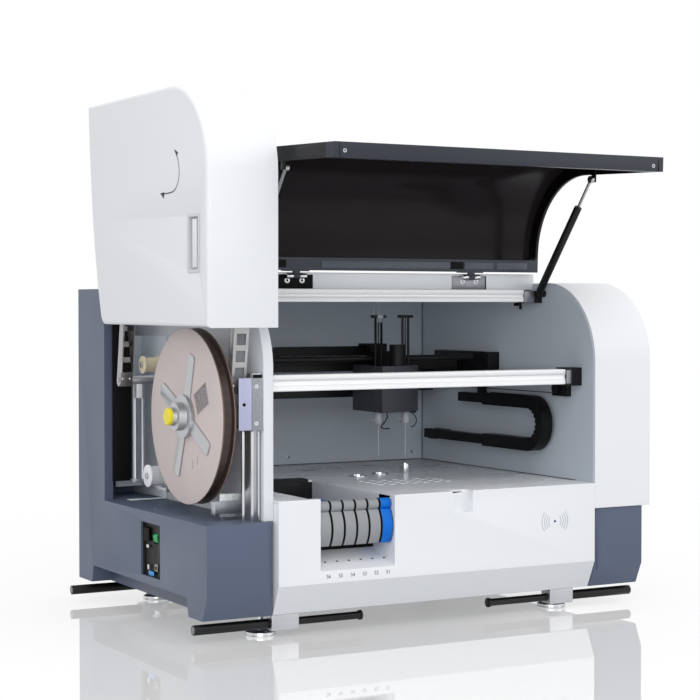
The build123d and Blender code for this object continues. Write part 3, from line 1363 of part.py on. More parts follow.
# Electronics in the right base block: tray, power supply and control board
tray_top = recess_top + base_wall + sheet
tray_left = cover_edge + reveal + base_wall
tray_right = base_half - base_wall
with BuildPart() as electronics_tray:
    block((tray_left + reveal, tray_right - reveal), tray_depth, (recess_top + base_wall, tray_top))
    block((tray_left + reveal, tray_left + reveal + sheet), tray_depth, (body_bottom + base_wall, tray_top))
    block((tray_left + supply_inset, tray_right - supply_inset), supply_depth,
          (tray_top, tray_top + supply_high))
    with Locations(plan(tray_top)):
        with Locations(((tray_left + tray_right) / 2, sum(board_depth) / 2)):
            with GridLocations(tray_right - tray_left - 2 * (supply_inset + board_post_inset),
                               board_depth[1] - board_depth[0] - 4 * pin_radius, 2, 2):
                Box(pin_radius, pin_radius, board_lift, align=(Align.CENTER, Align.CENTER, Align.MIN))
    block((tray_left + supply_inset, tray_right - supply_inset), board_depth,
          (tray_top + board_lift, tray_top + board_lift + sheet))
save("electronics_tray", electronics_tray)
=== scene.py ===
"""Looks of the coagulation analyzer: shells, chamber, gantry, reel, racks, lid and fittings.

Places are given in millimetres as x, depth and z: across, behind the front panel's face, and
above the bench. Meshes are made in metres.
"""
import json
from math import cos, pi, radians, sin, tau

import bmesh
import bpy
from mathutils import Matrix, Vector

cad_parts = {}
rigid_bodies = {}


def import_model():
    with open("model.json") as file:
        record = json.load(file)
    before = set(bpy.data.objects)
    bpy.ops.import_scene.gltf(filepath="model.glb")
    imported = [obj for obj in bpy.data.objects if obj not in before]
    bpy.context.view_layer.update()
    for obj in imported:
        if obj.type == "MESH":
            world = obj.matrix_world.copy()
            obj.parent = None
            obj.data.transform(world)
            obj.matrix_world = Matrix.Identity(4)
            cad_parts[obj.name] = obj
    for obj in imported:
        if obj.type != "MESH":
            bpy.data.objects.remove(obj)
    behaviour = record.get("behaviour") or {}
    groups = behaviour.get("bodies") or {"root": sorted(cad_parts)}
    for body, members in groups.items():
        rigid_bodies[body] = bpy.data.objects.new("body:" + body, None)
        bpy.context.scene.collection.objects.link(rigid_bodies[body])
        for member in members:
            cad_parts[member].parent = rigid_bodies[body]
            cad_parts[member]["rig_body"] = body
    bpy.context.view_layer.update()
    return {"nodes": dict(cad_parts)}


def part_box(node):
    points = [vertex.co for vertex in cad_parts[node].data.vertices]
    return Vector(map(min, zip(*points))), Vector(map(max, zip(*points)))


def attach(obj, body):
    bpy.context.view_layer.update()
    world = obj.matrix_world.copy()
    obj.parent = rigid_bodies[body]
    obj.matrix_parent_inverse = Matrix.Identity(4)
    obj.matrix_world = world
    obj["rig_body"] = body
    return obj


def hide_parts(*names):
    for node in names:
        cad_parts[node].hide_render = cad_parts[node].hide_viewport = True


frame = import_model()
nodes = frame["nodes"]
front_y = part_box("front_panel")[0].y
mm = 0.001


def at(x, depth, z):
    """Point in the row frame from its x, depth and z in millimetres."""
    return Vector((x * mm, front_y + depth * mm, z * mm))


def linked(name, data):
    """New object in the scene."""
    made = bpy.data.objects.new(name, data)
    bpy.context.scene.collection.objects.link(made)
    return made


# Colours
def srgb(red, green, blue):
    """Linear colour from display values of 0 to 255."""
    def linear(value):
        value /= 255
        return value / 12.92 if value <= 0.04045 else ((value + 0.055) / 1.055) ** 2.4
    return (linear(red), linear(green), linear(blue), 1.0)


def shade(colour, factor):
    """Same colour, lighter or darker."""
    return (*(channel * factor for channel in colour[:3]), 1.0)


dark_blue = srgb(84, 95, 117)
shell_white = srgb(233, 235, 238)
chamber_grey = srgb(196, 204, 214)
ink = srgb(52, 55, 62)
near_black = srgb(15, 15, 17)
pure_white = (1.0, 1.0, 1.0, 1.0)


# Shaders and node trees
class Value:
    """Number in a shader, with ordinary arithmetic."""

    def __init__(self, graph, socket):
        self.graph = graph
        self.socket = socket

    def __add__(self, other):
        return self.graph.maths("ADD", self, other)

    def __sub__(self, other):
        return self.graph.maths("SUBTRACT", self, other)

    def __rsub__(self, other):
        return self.graph.maths("SUBTRACT", other, self)

    def __mul__(self, other):
        return self.graph.maths("MULTIPLY", self, other)

    def __truediv__(self, other):
        return self.graph.maths("DIVIDE", self, other)

    def __gt__(self, other):
        return self.graph.maths("GREATER_THAN", self, other)

    def __lt__(self, other):
        return self.graph.maths("LESS_THAN", self, other)

    def __abs__(self):
        return self.graph.maths("ABSOLUTE", self)

    __radd__ = __add__
    __rmul__ = __mul__


class Graph:
    """Node tree under construction."""

    def __init__(self, tree):
        self.tree = tree

    def feed(self, socket, value):
        """Link or set one input."""
        if isinstance(value, Value):
            value = value.socket
        if isinstance(value, bpy.types.NodeSocket):
            self.tree.links.new(value, socket)
        else:
            socket.default_value = value

    def node(self, kind, settings=None, inputs=None):
        """Node of a type, its settings first and then its inputs."""
        made = self.tree.nodes.new(kind)
        for key, value in (settings or {}).items():
            setattr(made, key, value)
        for key, value in (inputs or {}).items():
            self.feed(made.inputs[key], value)
        return made

    def maths(self, operation, *terms):
        """Result of a maths node."""
        made = self.node("ShaderNodeMath", {"operation": operation}, dict(enumerate(terms)))
        return Value(self, made.outputs[0])

    def limited(self, value):
        """Value kept between 0 and 1."""
        made = self.node("ShaderNodeClamp", None, {"Value": value})
        return Value(self, made.outputs[0])

    def seen(self):
        """1 for what the camera sees directly, in a reflection or through glass; else 0."""
        rays = self.node("ShaderNodeLightPath")
        camera, glossy, through = (
            Value(self, rays.outputs[name])
            for name in ("Is Camera Ray", "Is Glossy Ray", "Is Transmission Ray"))
        return self.limited(camera + glossy + through)


class Look(Graph):
    """Material: one main surface and the nodes that feed it."""

    def __init__(self, name, **constants):
        self.material = bpy.data.materials.new(name)
        self.material.use_nodes = True
        super().__init__(self.material.node_tree)
        self.surface = self.tree.nodes["Principled BSDF"]
        for key, value in constants.items():
            self.surface.inputs[key.replace("_", " ")].default_value = value
        self.place = self.node("ShaderNodeTexCoord").outputs["Object"]
        axes = self.node("ShaderNodeSeparateXYZ", None, {0: self.place})
        self.x, self.y, self.z = (Value(self, socket) for socket in axes.outputs)

    def across(self):
        """Millimetres across."""
        return self.x / mm

    def depth(self):
        """Millimetres behind the front panel's face."""
        return (self.y - front_y) / mm

    def height(self):
        """Millimetres above the bench."""
        return self.z / mm

    def noise(self, scale, detail=2.0, stretch=(1.0, 1.0, 1.0)):
        """Noise about 0.5 with its features 1/scale metres apart."""
        place = self.node("ShaderNodeMapping", None, {"Vector": self.place, "Scale": stretch})
        made = self.node("ShaderNodeTexNoise", None,
                         {"Vector": place.outputs[0], "Scale": scale, "Detail": detail})
        return Value(self, made.outputs[0])

    def mix(self, factor, first, second):
        """Colour between two colours."""
        first_socket, second_socket, result = 6, 7, 2
        made = self.node("ShaderNodeMix", {"data_type": "RGBA"}, {"Factor": factor})
        self.feed(made.inputs[first_socket], first)
        self.feed(made.inputs[second_socket], second)
        return made.outputs[result]

    def mottled(self, factor, colour, spread):
        """Colour that a factor moves from darker to lighter by a share of itself."""
        return self.mix(factor, shade(colour, 1 - spread), shade(colour, 1 + spread))

    def bump(self, height, distance, strength=1.0):
        """Relief of a height that is 0 to 1, over a distance in metres."""
        made = self.node("ShaderNodeBump", None,
                         {"Height": height, "Distance": distance, "Strength": strength})
        self.feed(self.surface.inputs["Normal"], made.outputs[0])

    def set(self, name, value):
        """Feed one input of the main surface."""
        self.feed(self.surface.inputs[name], value)


def painted(name, colour, rough, grain=0.00002, drift=0.05, shine=0.5, zones=None):
    """Sprayed shell: fine orange peel, faint drift of colour, soft marks in the gloss."""
    look = Look(name, Specular_IOR_Level=shine)
    tone = look.mottled(look.noise(5.0, 3.0), colour, drift)
    look.set("Base Color", zones(look, tone) if zones else tone)
    look.set("Roughness", rough + (look.noise(9.0) - 0.5) * 0.1)
    look.bump(look.noise(420.0, 1.0), grain, 0.3)
    return look.material


def moulded(name, colour, rough, grain=0.00006, drift=0.10, shine=0.5, zones=None):
    """Moulded plastic with a fine spark-eroded grain."""
    look = Look(name, Specular_IOR_Level=shine)
    tone = look.mottled(look.noise(30.0, 4.0), colour, drift)
    look.set("Base Color", zones(look, tone) if zones else tone)
    look.set("Roughness", rough + (look.noise(90.0, 3.0) - 0.5) * 0.2)
    look.bump(look.noise(1500.0, 3.0), grain)
    return look.material


def brushed(name, colour, rough, stretch, streak=0.25, metallic=1.0):
    """Metal with fine drawn lines; stretch is small along the lines."""
    look = Look(name)
    lines = look.noise(900.0, 3.0, stretch)
    cloud = look.noise(18.0, 3.0)
    look.set("Metallic", metallic * (0.97 + cloud * 0.03))
    look.set("Base Color", look.mottled(lines, colour, streak))
    look.set("Roughness", rough + (lines - 0.5) * 0.25 + (cloud - 0.5) * 0.12)
    look.bump(lines, 0.00002)
    return look.material


def cast(name, colour, rough):
    """Die-cast metal: mottled, slightly pitted."""
    look = Look(name)
    mottle = look.noise(160.0, 5.0)
    look.set("Metallic", 0.85 + mottle * 0.1)
    look.set("Base Color", look.mix(mottle, shade(colour, 0.72), shade(colour, 1.25)))
    look.set("Roughness", rough + (mottle - 0.5) * 0.4)
    look.bump(mottle, 0.00015)
    return look.material


def smoked(name):
    """Dark tinted acrylic, nearly opaque, with a clean polish."""
    look = Look(name, Specular_IOR_Level=0.1)
    haze = look.noise(9.0, 3.0)
    streaks = look.noise(14.0, 2.0, (0.25, 6.0, 6.0))
    look.set("Base Color", look.mix(streaks, srgb(29, 24, 27), srgb(38, 30, 33)))
    look.set("Alpha", 0.93 + haze * 0.05)
    look.set("Roughness", 0.12 + look.noise(20.0, 3.0) * 0.08)
    return look.material


# Zones: parts of one piece that differ in colour, told apart by their place
rack_pitch, rack_first = 26.0, -242.0


def rack_edges(look, tone):
    """Racks whose sides, next to the slots between them, lie in the dark."""
    face_half = 10.6
    from_first = look.across() - rack_first + rack_pitch / 2
    across = look.maths("FLOORED_MODULO", from_first, rack_pitch)
    return look.mix(abs(across - rack_pitch / 2) > face_half, tone, near_black)


def lid_light_and_shade(look, tone):
    """Lid frame's painted light: bluish sheen on the front bar, shaded black side webs, lit grey
    rear rail.
    """
    web_start, rail_top = -180.0, 698.0
    web = look.mix(look.depth() > web_start, tone, srgb(9, 9, 11))
    return look.mix(look.height() < rail_top, web, srgb(62, 67, 77))


def deck_depth(look, tone):
    """Deck that lies in the chamber's own shade towards the back."""
    shade_start, shade_length, deepest = 330.0, 200.0, 0.42
    back = look.limited((look.depth() - shade_start) / shade_length)
    return look.mix(back * deepest, tone, srgb(96, 100, 106))


def probe_parts(look, tone):
    """Black carrier above, bare needle below, and a silver plate on the left carrier."""
    needle_top, plate_low, plate_left, plate_right = 381.0, 566.0, 74.0, 87.0
    x, z = look.across(), look.height()
    tone = look.mix(z < needle_top, tone, srgb(176, 182, 190))
    plate = (z > plate_low) * (x > plate_left) * (x < plate_right)
    return look.mix(plate, tone, srgb(178, 181, 190))


def bar_ends(look, tone):
    """Rubber bars with a grey plug flush in each end."""
    bar_height, front_bar, rear_bar, plug_radius = 25.0, 40.0, 580.0, 6.9
    inner_ends, outer_end = ((-491.2, -490.9), (473.9, 474.2)), 517.1
    x, depth = look.across(), look.depth()
    ends = abs(x) > outer_end
    for low, high in inner_ends:
        ends = ends + (x > low) * (x < high)
    height = look.height() - bar_height
    back = look.maths("MINIMUM", abs(depth - front_bar), abs(depth - rear_bar))
    inside = look.maths("SQRT", height * height + back * back) < plug_radius
    return look.mix(look.limited(ends) * inside, tone, srgb(126, 128, 132))


def bay_ends(look, tone):
    """Pale bay with a black face in front of the tube reader."""
    reader_face = 329.0
    return look.mix(look.depth() > reader_face, tone, near_black)


reel_x, reel_depth, reel_height = -444.0, 175.0, 397.0
reel_middle = at(reel_x, reel_depth, reel_height)


def reel_parts(name):
    """Pressed board flanges, darker cut edges, and brown cuvette tape wound between them."""
    rim_radius, print_radius, turns_per_mm = 162.2, 149.0, 4.2
    tape_left, tape_right, print_right = 2.4, 22.6, 2.6
    look = Look(name)
    across = (look.x - reel_middle.x) / mm
    back = (look.y - reel_middle.y) / mm
    up = (look.z - reel_middle.z) / mm
    radius = look.maths("SQRT", back * back + up * up)
    fibre = look.noise(260.0, 4.0)
    cloud = look.noise(12.0, 3.0)
    board = look.mix(fibre, srgb(205, 192, 190), srgb(216, 204, 201))
    board = look.mix(look.limited(cloud * 0.6 - 0.1), board, srgb(202, 189, 187))
    wound = (across > tape_left) * (across < tape_right)
    turns = look.maths("SINE", radius * turns_per_mm) * 0.5 + 0.5
    tape = look.mix(turns, srgb(44, 34, 31), srgb(72, 57, 52))
    mesh = look.mix(look.noise(850.0, 1.0) > 0.5, srgb(96, 90, 93), srgb(170, 163, 166))
    tape = look.mix((across < print_right) * (radius < print_radius), tape, mesh)
    tone = look.mix(radius > rim_radius, board, srgb(120, 96, 86))
    look.set("Base Color", look.mix(wound, tone, tape))
    look.set("Roughness", 0.72 - wound * 0.3 + (fibre - 0.5) * 0.1)
    look.bump(fibre + turns * wound * 3.0, 0.00006)
    return look.material


# Finishes: smooth is the grain of the flattest coats in metres; metal is drawn along x or z
smooth = 0.000005
along_x, along_z = (0.02, 1.0, 1.0), (1.0, 1.0, 0.02)
finish = {
    "dark_shell": painted("dark_shell_paint", dark_blue, 0.42, drift=0.06),
    "white_shell": painted("white_shell_gloss", shell_white, 0.42, smooth, 0.006),
    "white_sheet": painted("white_sheet_paint", srgb(228, 231, 235), 0.45, smooth, 0.01),
    "deck_sheet": painted("deck_sheet_paint", srgb(244, 247, 251), 0.28, smooth, 0.012,
                          zones=deck_depth),
    "liner_sheet": painted("liner_sheet_paint", chamber_grey, 0.42, smooth, 0.02),
    "rear_sheet": painted("rear_sheet_paint", srgb(196, 200, 206), 0.5, drift=0.04),
    "roof_white": painted("roof_white_paint", srgb(240, 243, 246), 0.4, smooth, 0.006),
    "bay_sheet": painted("bay_sheet_paint", srgb(222, 226, 232), 0.4, drift=0.01, zones=bay_ends),
    "white_bar": painted("white_bar_coat", srgb(250, 251, 252), 0.4, smooth, 0.008),
    # Lid frame: black satin, with painted light and shade in zones
    "black_gloss": painted("black_frame_satin", srgb(46, 49, 59), 0.36, 0.00001, shine=0.3,
                           zones=lid_light_and_shade),
    "black_metal": painted("black_metal_coat", srgb(14, 14, 16), 0.42, shine=0.25),
    "rail_grey": painted("rail_grey_coat", srgb(66, 72, 82), 0.4, drift=0.04),
    "rail_strip": painted("rail_strip_coat", srgb(84, 90, 102), 0.36, drift=0.06, shine=0.35),
    "black_plastic": moulded("black_plastic_matt", near_black, 0.5, shine=0.25),
    "chain_black": moulded("chain_black_nylon", srgb(10, 10, 12), 0.45, shine=0.2),
    "board_green": moulded("board_green_mask", srgb(24, 92, 56), 0.35),
    "head_grey": moulded("head_cover_grey", srgb(66, 67, 73), 0.5, shine=0.3),
    "rack_grey": moulded("rack_grey_matt", srgb(146, 149, 152), 0.55, drift=0.04,
                         zones=rack_edges),
    "rack_blue": moulded("rack_blue_matt", srgb(0, 108, 208), 0.5, drift=0.05, shine=0.25,
                         zones=rack_edges),
    "cap_yellow": moulded("cap_yellow_gloss", srgb(240, 222, 10), 0.35, drift=0.06),
    "roller_cream": moulded("roller_cream_nylon", srgb(214, 202, 172), 0.5, drift=0.05),
    # White nylon, also used for painted light in the side cover's handle
    "roller_white": moulded("roller_white_nylon", srgb(232, 234, 237), 0.45, drift=0.03),
    "bar_black": moulded("bar_black_rubber", srgb(12, 12, 13), 0.34, shine=0.3, zones=bar_ends),
    "switch_green": moulded("switch_green_glow", srgb(6, 158, 84), 0.3, drift=0.12),
    "ink_dark": moulded("ink_dark_print", ink, 0.6, 0.00001),
    "ink_pale": moulded("ink_pale_print", srgb(176, 181, 190), 0.6, 0.00001),
    "ink_blue": moulded("ink_blue_print", srgb(24, 66, 124), 0.5, 0.00001),
    # Black rubber, also used for black plates of painted shade in openings, recesses and under the
    # racks
    "black_rubber_and_shade": moulded("gasket_black_rubber", srgb(9, 9, 11), 0.6, shine=0.15),
    "galvanised": moulded("galvanised_pale_zinc", srgb(228, 236, 243), 0.45, 0.00002, 0.08),
    "port_white": moulded("port_white_nylon", srgb(222, 224, 226), 0.5),
    "port_blue": moulded("port_blue_nylon", srgb(62, 146, 218), 0.45),
    "barrel_clear": moulded("barrel_clear_frosted", srgb(172, 176, 182), 0.25),
    "hose_black": moulded("hose_black_rubber", srgb(16, 16, 18), 0.4, shine=0.25),
    "probe_parts": moulded("probe_black_and_needle", near_black, 0.4, shine=0.3,
                           zones=probe_parts),
    "handle_grey": moulded("handle_grey_satin", srgb(208, 209, 214), 0.35, 0.00002, 0.02),
    # Grey painted shade behind the front arm's windows
    "arm_window_grey": moulded("arm_window_grey", srgb(112, 118, 120), 0.4, drift=0.3),
    "steel": brushed("steel_brushed", srgb(176, 178, 182), 0.34, along_z),
    "shaft_steel": brushed("shaft_steel_ground", srgb(205, 207, 210), 0.22, along_x, 0.12),
    "block_grey": brushed("block_grey_satin", srgb(186, 187, 192), 0.4, (0.03, 1.0, 1.0), 0.1),
    "chrome_foot": brushed("chrome_foot_polish", srgb(214, 216, 219), 0.12, (1.0, 1.0, 0.1), 0.08),
    "hub_silver": brushed("hub_silver_turned", srgb(186, 188, 191), 0.36, (1.0, 0.25, 0.25), 0.12),
    "post_lilac": brushed("post_lilac_anodised", srgb(176, 178, 205), 0.4, (1.0, 1.0, 0.03), 0.06,
                          metallic=0.55),
    "screw_chrome": brushed("screw_chrome_turned", srgb(196, 198, 202), 0.22, (1.0, 1.0, 1.0),
                            0.06),
    "jack_metal": brushed("jack_metal_plated", srgb(150, 146, 138), 0.35, (1.0, 1.0, 0.1), 0.1),
    "arm_metal": cast("arm_cast_metal", srgb(178, 176, 176), 0.42),
    "zinc_strip": cast("zinc_strip_plated", srgb(206, 210, 210), 0.3),
    "foot_metal": cast("arm_foot_metal", srgb(128, 124, 126), 0.45),
    # Grey metal, also used for painted shade on the lower bar's end and a hinge pocket
    "grey_metal_and_shade": cast("bracket_grey_metal", srgb(150, 152, 158), 0.4),
    "smoked_window": smoked("smoked_window_acrylic"),
    "reel_board": reel_parts("reel_board_and_tape"),
}

# Meshes: angles in degrees above which an edge is shaded sharp, or is rounded
plain_angle, crisp_angle, rounded_angle = 35.0, 20.0, 40.0
crisp = ("front_panel", "base_housing", "right_cover")


def shaded(mesh, angle=plain_angle):
    """Smooth shading with the edges sharper than an angle kept."""
    mesh.polygons.foreach_set("use_smooth", [True] * len(mesh.polygons))
    mesh.set_sharp_from_angle(angle=radians(angle))


def placed(name, mesh, look, body, stands_for=()):
    """Finished mesh as a piece of the machine on a body."""
    mesh.name = name
    made = linked(name, mesh)
    made.data.materials.clear()
    made.data.materials.append(finish[look])
    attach(made, body)
    if stands_for:
        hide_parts(*stands_for)


def frozen(made):
    """Plain mesh of an object with its modifiers worked out; the object is removed."""
    bpy.context.view_layer.update()
    graph = bpy.context.evaluated_depsgraph_get()
    mesh = bpy.data.meshes.new_from_object(made.evaluated_get(graph))
    bpy.data.objects.remove(made)
    return mesh


def bevelled(mesh, width):
    """Mesh with its sharp edges rounded by a width in millimetres."""
    made = linked("rounding", mesh)
    rounding = made.modifiers.new("rounding", "BEVEL")
    rounding.width = width * mm
    rounding.segments = 2
    rounding.limit_method = "ANGLE"
    rounding.angle_limit = radians(rounded_angle)
    rounding.use_clamp_overlap = True
    rounding.harden_normals = False
    return frozen(made)


class Form:
    """Mesh under construction from points made with at()."""

    def __init__(self):
        self.work = bmesh.new()

    def prism(self, outline, shift):
        """Straight prism from a closed outline of points, moved by a vector in metres."""
        low = [self.work.verts.new(point) for point in outline]
        high = [self.work.verts.new(point + shift) for point in outline]
        self.work.faces.new(low[::-1])
        self.work.faces.new(high)
        for i, corner in enumerate(low):
            j = (i + 1) % len(low)
            self.work.faces.new((corner, low[j], high[j], high[i]))
        return self

    def block(self, x, depth, z):
        """Rectangular block between pairs of limits."""
        outline = [at(x[0], depth[0], z[0]), at(x[1], depth[0], z[0]),
                   at(x[1], depth[1], z[0]), at(x[0], depth[1], z[0])]
        return self.prism(outline, Vector((0, 0, (z[1] - z[0]) * mm)))

    def turned(self, start, way, profile, sides):
        """Closed round body along a way; profile lists distance from the start and radius."""
        axis = way.normalized()
        first_side = axis.orthogonal().normalized()
        second_side = axis.cross(first_side)
        rings = []
        for along, radius in profile:
            centre = start + axis * along * mm
            ring = []
            for i in range(sides):
                turn = tau * i / sides
                out = first_side * cos(turn) + second_side * sin(turn)
                ring.append(self.work.verts.new(centre + out * radius * mm))
            rings.append(ring)
        for low, high in zip(rings, rings[1:]):
            for i in range(sides):
                j = (i + 1) % sides
                self.work.faces.new((low[i], low[j], high[j], high[i]))
        self.work.faces.new(rings[0])
        self.work.faces.new(rings[-1])
        return self

    def tube(self, places, radius, sides=8):
        """Thin hose through places given as x, depth and z."""
        tip = radius * 0.6
        points = [at(*place) for place in places]
        for start, end in zip(points, points[1:]):
            length = (end - start).length / mm
            self.turned(start, end - start,
                        [(-tip, tip), (0.0, radius), (length, radius), (length + tip, tip)], sides)
        return self

    def stroke(self, points, width, out, lift):
        """Flat ribbon along points on a surface that faces out; width and lift in millimetres."""
        last = len(points) - 1
        sides = []
        for i in range(len(points)):
            along = (points[min(i + 1, last)] - points[max(i - 1, 0)]).normalized()
            sides.append(along.cross(out).normalized() * width * mm / 2)
        for i in range(last):
            j = i + 1
            self.prism([points[i] - sides[i], points[j] - sides[j],
                        points[j] + sides[j], points[i] + sides[i]], out * lift * mm)
        return self

    def mesh(self, name, width=0.0):
        """Plain mesh, faces outwards, its edges rounded by a width."""
        bmesh.ops.recalc_face_normals(self.work, faces=self.work.faces)
        made = bpy.data.meshes.new(name)
        self.work.to_mesh(made)
        self.work.free()
        if width:
            made = bevelled(made, width)
        shaded(made)
        return made

    def piece(self, name, look, body, slot, width=0.0):
        """Finished piece of the form, its edges rounded by a width."""
        placed(name, self.mesh(name, width), look, body)


def boxes(name, look, body, slot, width, *limits):
    """Piece made of blocks, each given by its pairs of limits in x, depth and z."""
    form = Form()
    for x, depth, z in limits:
        form.block(x, depth, z)
    form.piece(name, look, body, slot, width)


def without(mesh, limits):
    """Mesh with a block taken away."""
    tool = linked("cutter", Form().block(*limits).mesh("cutter"))
    made = linked("cutting", mesh)
    cut = made.modifiers.new("cut", "BOOLEAN")
    cut.operation = "DIFFERENCE"
    cut.solver = "EXACT"
    cut.object = tool
    result = frozen(made)
    bpy.data.objects.remove(tool)
    return result


def softened(node, look, width, cutter=None):
    """Copy of a CAD node, merged and with its edges rounded, that stands for the node."""
    merge_distance, flat_angle = 0.02, 0.5
    source = nodes[node]
    mesh = source.data.copy()
    work = bmesh.new()
    work.from_mesh(mesh)
    bmesh.ops.remove_doubles(work, verts=work.verts, dist=merge_distance * mm)
    bmesh.ops.dissolve_limit(work, angle_limit=radians(flat_angle),
                             verts=work.verts, edges=work.edges)
    work.to_mesh(mesh)
    work.free()
    if cutter:
        mesh = without(mesh, cutter)
    if width:
        mesh = bevelled(mesh, width)
    shaded(mesh, crisp_angle if node in crisp else plain_angle)
    placed(node + "_skin", mesh, look, source["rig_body"], (node,))


# Rounded copies of the moulded and machined nodes: look and edge rounding of each
shells = {
    "base_housing": ("dark_shell", 1.6), "front_panel": ("white_shell", 1.0),
    "right_cover": ("white_shell", 0.8), "left_bulkhead": ("white_sheet", 1.2),
    "roof_panel": ("roof_white", 1.0), "side_cover": ("white_shell", 0.6),
    "side_cover_handle": ("handle_grey", 0.4), "lid_frame": ("black_gloss", 1.0),
    "lid_window": ("smoked_window", 0.0), "upper_crossbar": ("white_bar", 0.0),
    "lower_crossbar": ("white_bar", 0.0), "crossbar_brackets": ("black_metal", 0.6),
    "front_arm": ("arm_metal", 0.4), "rear_arm": ("arm_metal", 0.4),
    "side_cover_brackets": ("steel", 0.3), "tube_reader": ("black_plastic", 0.8),
    "wash_wells": ("chrome_foot", 0.3), "reel_spool": ("reel_board", 0.4),
    "reel_hub": ("hub_silver", 0.5), "reel_cap": ("cap_yellow", 0.0),
    "roller_upper": ("roller_cream", 0.6), "roller_lower": ("roller_white", 0.6),
    "reel_carrier": ("steel", 0.4), "head_cover": ("head_grey", 0.6),
    "head_block": ("black_plastic", 0.5), "wash_stations": ("barrel_clear", 0.4),
    "probe_left": ("probe_parts", 0.0), "probe_right": ("probe_parts", 0.0),
    "bridge_beam": ("black_metal", 0.6), "y_axis_unit": ("black_metal", 0.4),
    "carry_bar_blocks": ("block_grey", 0.8), "levelling_feet": ("chrome_foot", 0.5),
    "power_switch": ("switch_green", 0.3), "io_panel": ("black_plastic", 0.3),
    "roof_hinge_leaves": ("chrome_foot", 0.3), "cover_pivot_posts": ("steel", 0.4),
}
for side_name in ("left", "right"):
    shells["strut_cylinder_" + side_name] = ("black_metal", 0.5)
    shells["strut_rod_" + side_name] = ("steel", 0.2)
for rack_number in range(1, 6):
    shells[f"rack_{rack_number}"] = ("rack_grey", 0.5)
shells["rack_6"] = ("rack_blue", 0.5)
for bar_name in ("front_left", "front_right", "rear_left", "rear_right"):
    shells["carry_bar_" + bar_name] = ("bar_black", 0.6)

for node_name, (look_name, rounding_width) in shells.items():
    softened(node_name, look_name, rounding_width)

# Rear cover without the strip that would stand above the dark post
softened("rear_cover", "rear_sheet", 0.8, ((-470.0, -362.0), (620.0, 690.0), (633.4, 700.0)))
boxes("rear_cover_lip", "rear_sheet", "base", "rear_sheet", 0.3,
      ((-454.8, -362.0), (634.4, 674.6), (631.8, 633.4)))

# Sheet nodes and chains whose CAD shape stays
unchanged = {
    "chamber_liner": "liner_sheet", "deck": "deck_sheet", "rack_bay": "bay_sheet",
    "electronics_tray": "board_green", "y_chain_bend": "chain_black",
    "y_chain_fixed": "chain_black", "x_chain_bend": "chain_black",
    "x_chain_moving": "chain_black", "bridge_chain_runs": "chain_black",
}
for node_name, look_name in unchanged.items():
    nodes[node_name].data.materials.clear()
    nodes[node_name].data.materials.append(finish[look_name])


# Screws, lettering and plates of the arms
class Repeats(Graph):
    """Geometry node tree with named inputs, for shapes that repeat."""

    def __init__(self, name, numbers):
        super().__init__(bpy.data.node_groups.new(name, "GeometryNodeTree"))
        self.sockets = {}
        for way in ("INPUT", "OUTPUT"):
            self.tree.interface.new_socket("Geometry", in_out=way,
                                           socket_type="NodeSocketGeometry")
        for number in numbers:
            self.add_input(number, "NodeSocketFloat")
        self.add_input("Material", "NodeSocketMaterial")
        self.entry = self.node("NodeGroupInput").outputs

    def add_input(self, name, kind):
        """Named input of the tree."""
        made = self.tree.interface.new_socket(name, in_out="INPUT", socket_type=kind)
        self.sockets[name] = made.identifier

    def join(self, operation, *meshes):
        """Boolean of meshes; for a difference the first is the one that is cut."""
        made = self.node("GeometryNodeMeshBoolean", {"operation": operation, "solver": "EXACT"})
        for i, mesh in enumerate(meshes):
            first = operation == "DIFFERENCE" and i == 0
            self.tree.links.new(mesh, made.inputs[0 if first else 1])
        return made.outputs[0]

    def raised(self, mesh, height):
        """Mesh moved up its own axis."""
        shift = self.node("ShaderNodeCombineXYZ", None, {"Z": height})
        made = self.node("GeometryNodeTransform", None,
                         {0: mesh, "Translation": shift.outputs[0]})
        return made.outputs[0]

    def close(self, geometry):
        """Realize, give the material and finish the tree."""
        real = self.node("GeometryNodeRealizeInstances", None, {0: geometry})
        coat = self.node("GeometryNodeSetMaterial", None,
                         {0: real.outputs[0], "Material": self.entry["Material"]})
        self.node("NodeGroupOutput", None, {0: coat.outputs[0]})

    def grow(self, name, carrier, look, body, slot, values):
        """Work the tree out on a carrier mesh and place the result as a piece."""
        made = linked(name + "_carrier", carrier)
        growth = made.modifiers.new("growth", "NODES")
        growth.node_group = self.tree
        for key, value in values.items():
            growth[self.sockets[key]] = value
        growth[self.sockets["Material"]] = finish[look]
        mesh = frozen(made)
        shaded(mesh)
        placed(name, mesh, look, body)


def screw_tree():
    """Screw heads with a crown and a six-sided socket, one at each point, facing its own way."""
    sides, crown_height, socket_depth = 20, 0.6 * mm, 2.4 * mm
    tree = Repeats("screw_heads", ("Head Radius", "Head Height", "Socket Radius"))
    head_radius, head_height, socket_radius = (
        tree.entry[name] for name in ("Head Radius", "Head Height", "Socket Radius"))
    head = tree.node("GeometryNodeMeshCylinder", {"fill_type": "NGON"},
                     {"Vertices": sides, "Radius": head_radius, "Depth": head_height})
    crown = tree.node("GeometryNodeMeshCone", {"fill_type": "NGON"},
                      {"Vertices": sides, "Radius Bottom": head_radius,
                       "Radius Top": socket_radius, "Depth": crown_height})
    socket = tree.node("GeometryNodeMeshCylinder", {"fill_type": "NGON"},
                       {"Vertices": 6, "Radius": socket_radius, "Depth": socket_depth})
    half = tree.maths("MULTIPLY", head_height, 0.5)
    whole = tree.join("UNION", head.outputs[0], tree.raised(crown.outputs[0], half))
    cut = tree.join("DIFFERENCE", whole, tree.raised(socket.outputs[0], half + crown_height))
    facing = tree.node("GeometryNodeInputNamedAttribute", {"data_type": "FLOAT_VECTOR"},
                       {"Name": "facing"})
    turn = tree.node("FunctionNodeAlignRotationToVector", {"axis": "Z"},
                     {"Vector": facing.outputs[0]})
    many = tree.node("GeometryNodeInstanceOnPoints", None,
                     {"Points": tree.entry["Geometry"], "Instance": cut,
                      "Rotation": turn.outputs[0]})
    tree.close(many.outputs[0])
    return tree


screws = screw_tree()


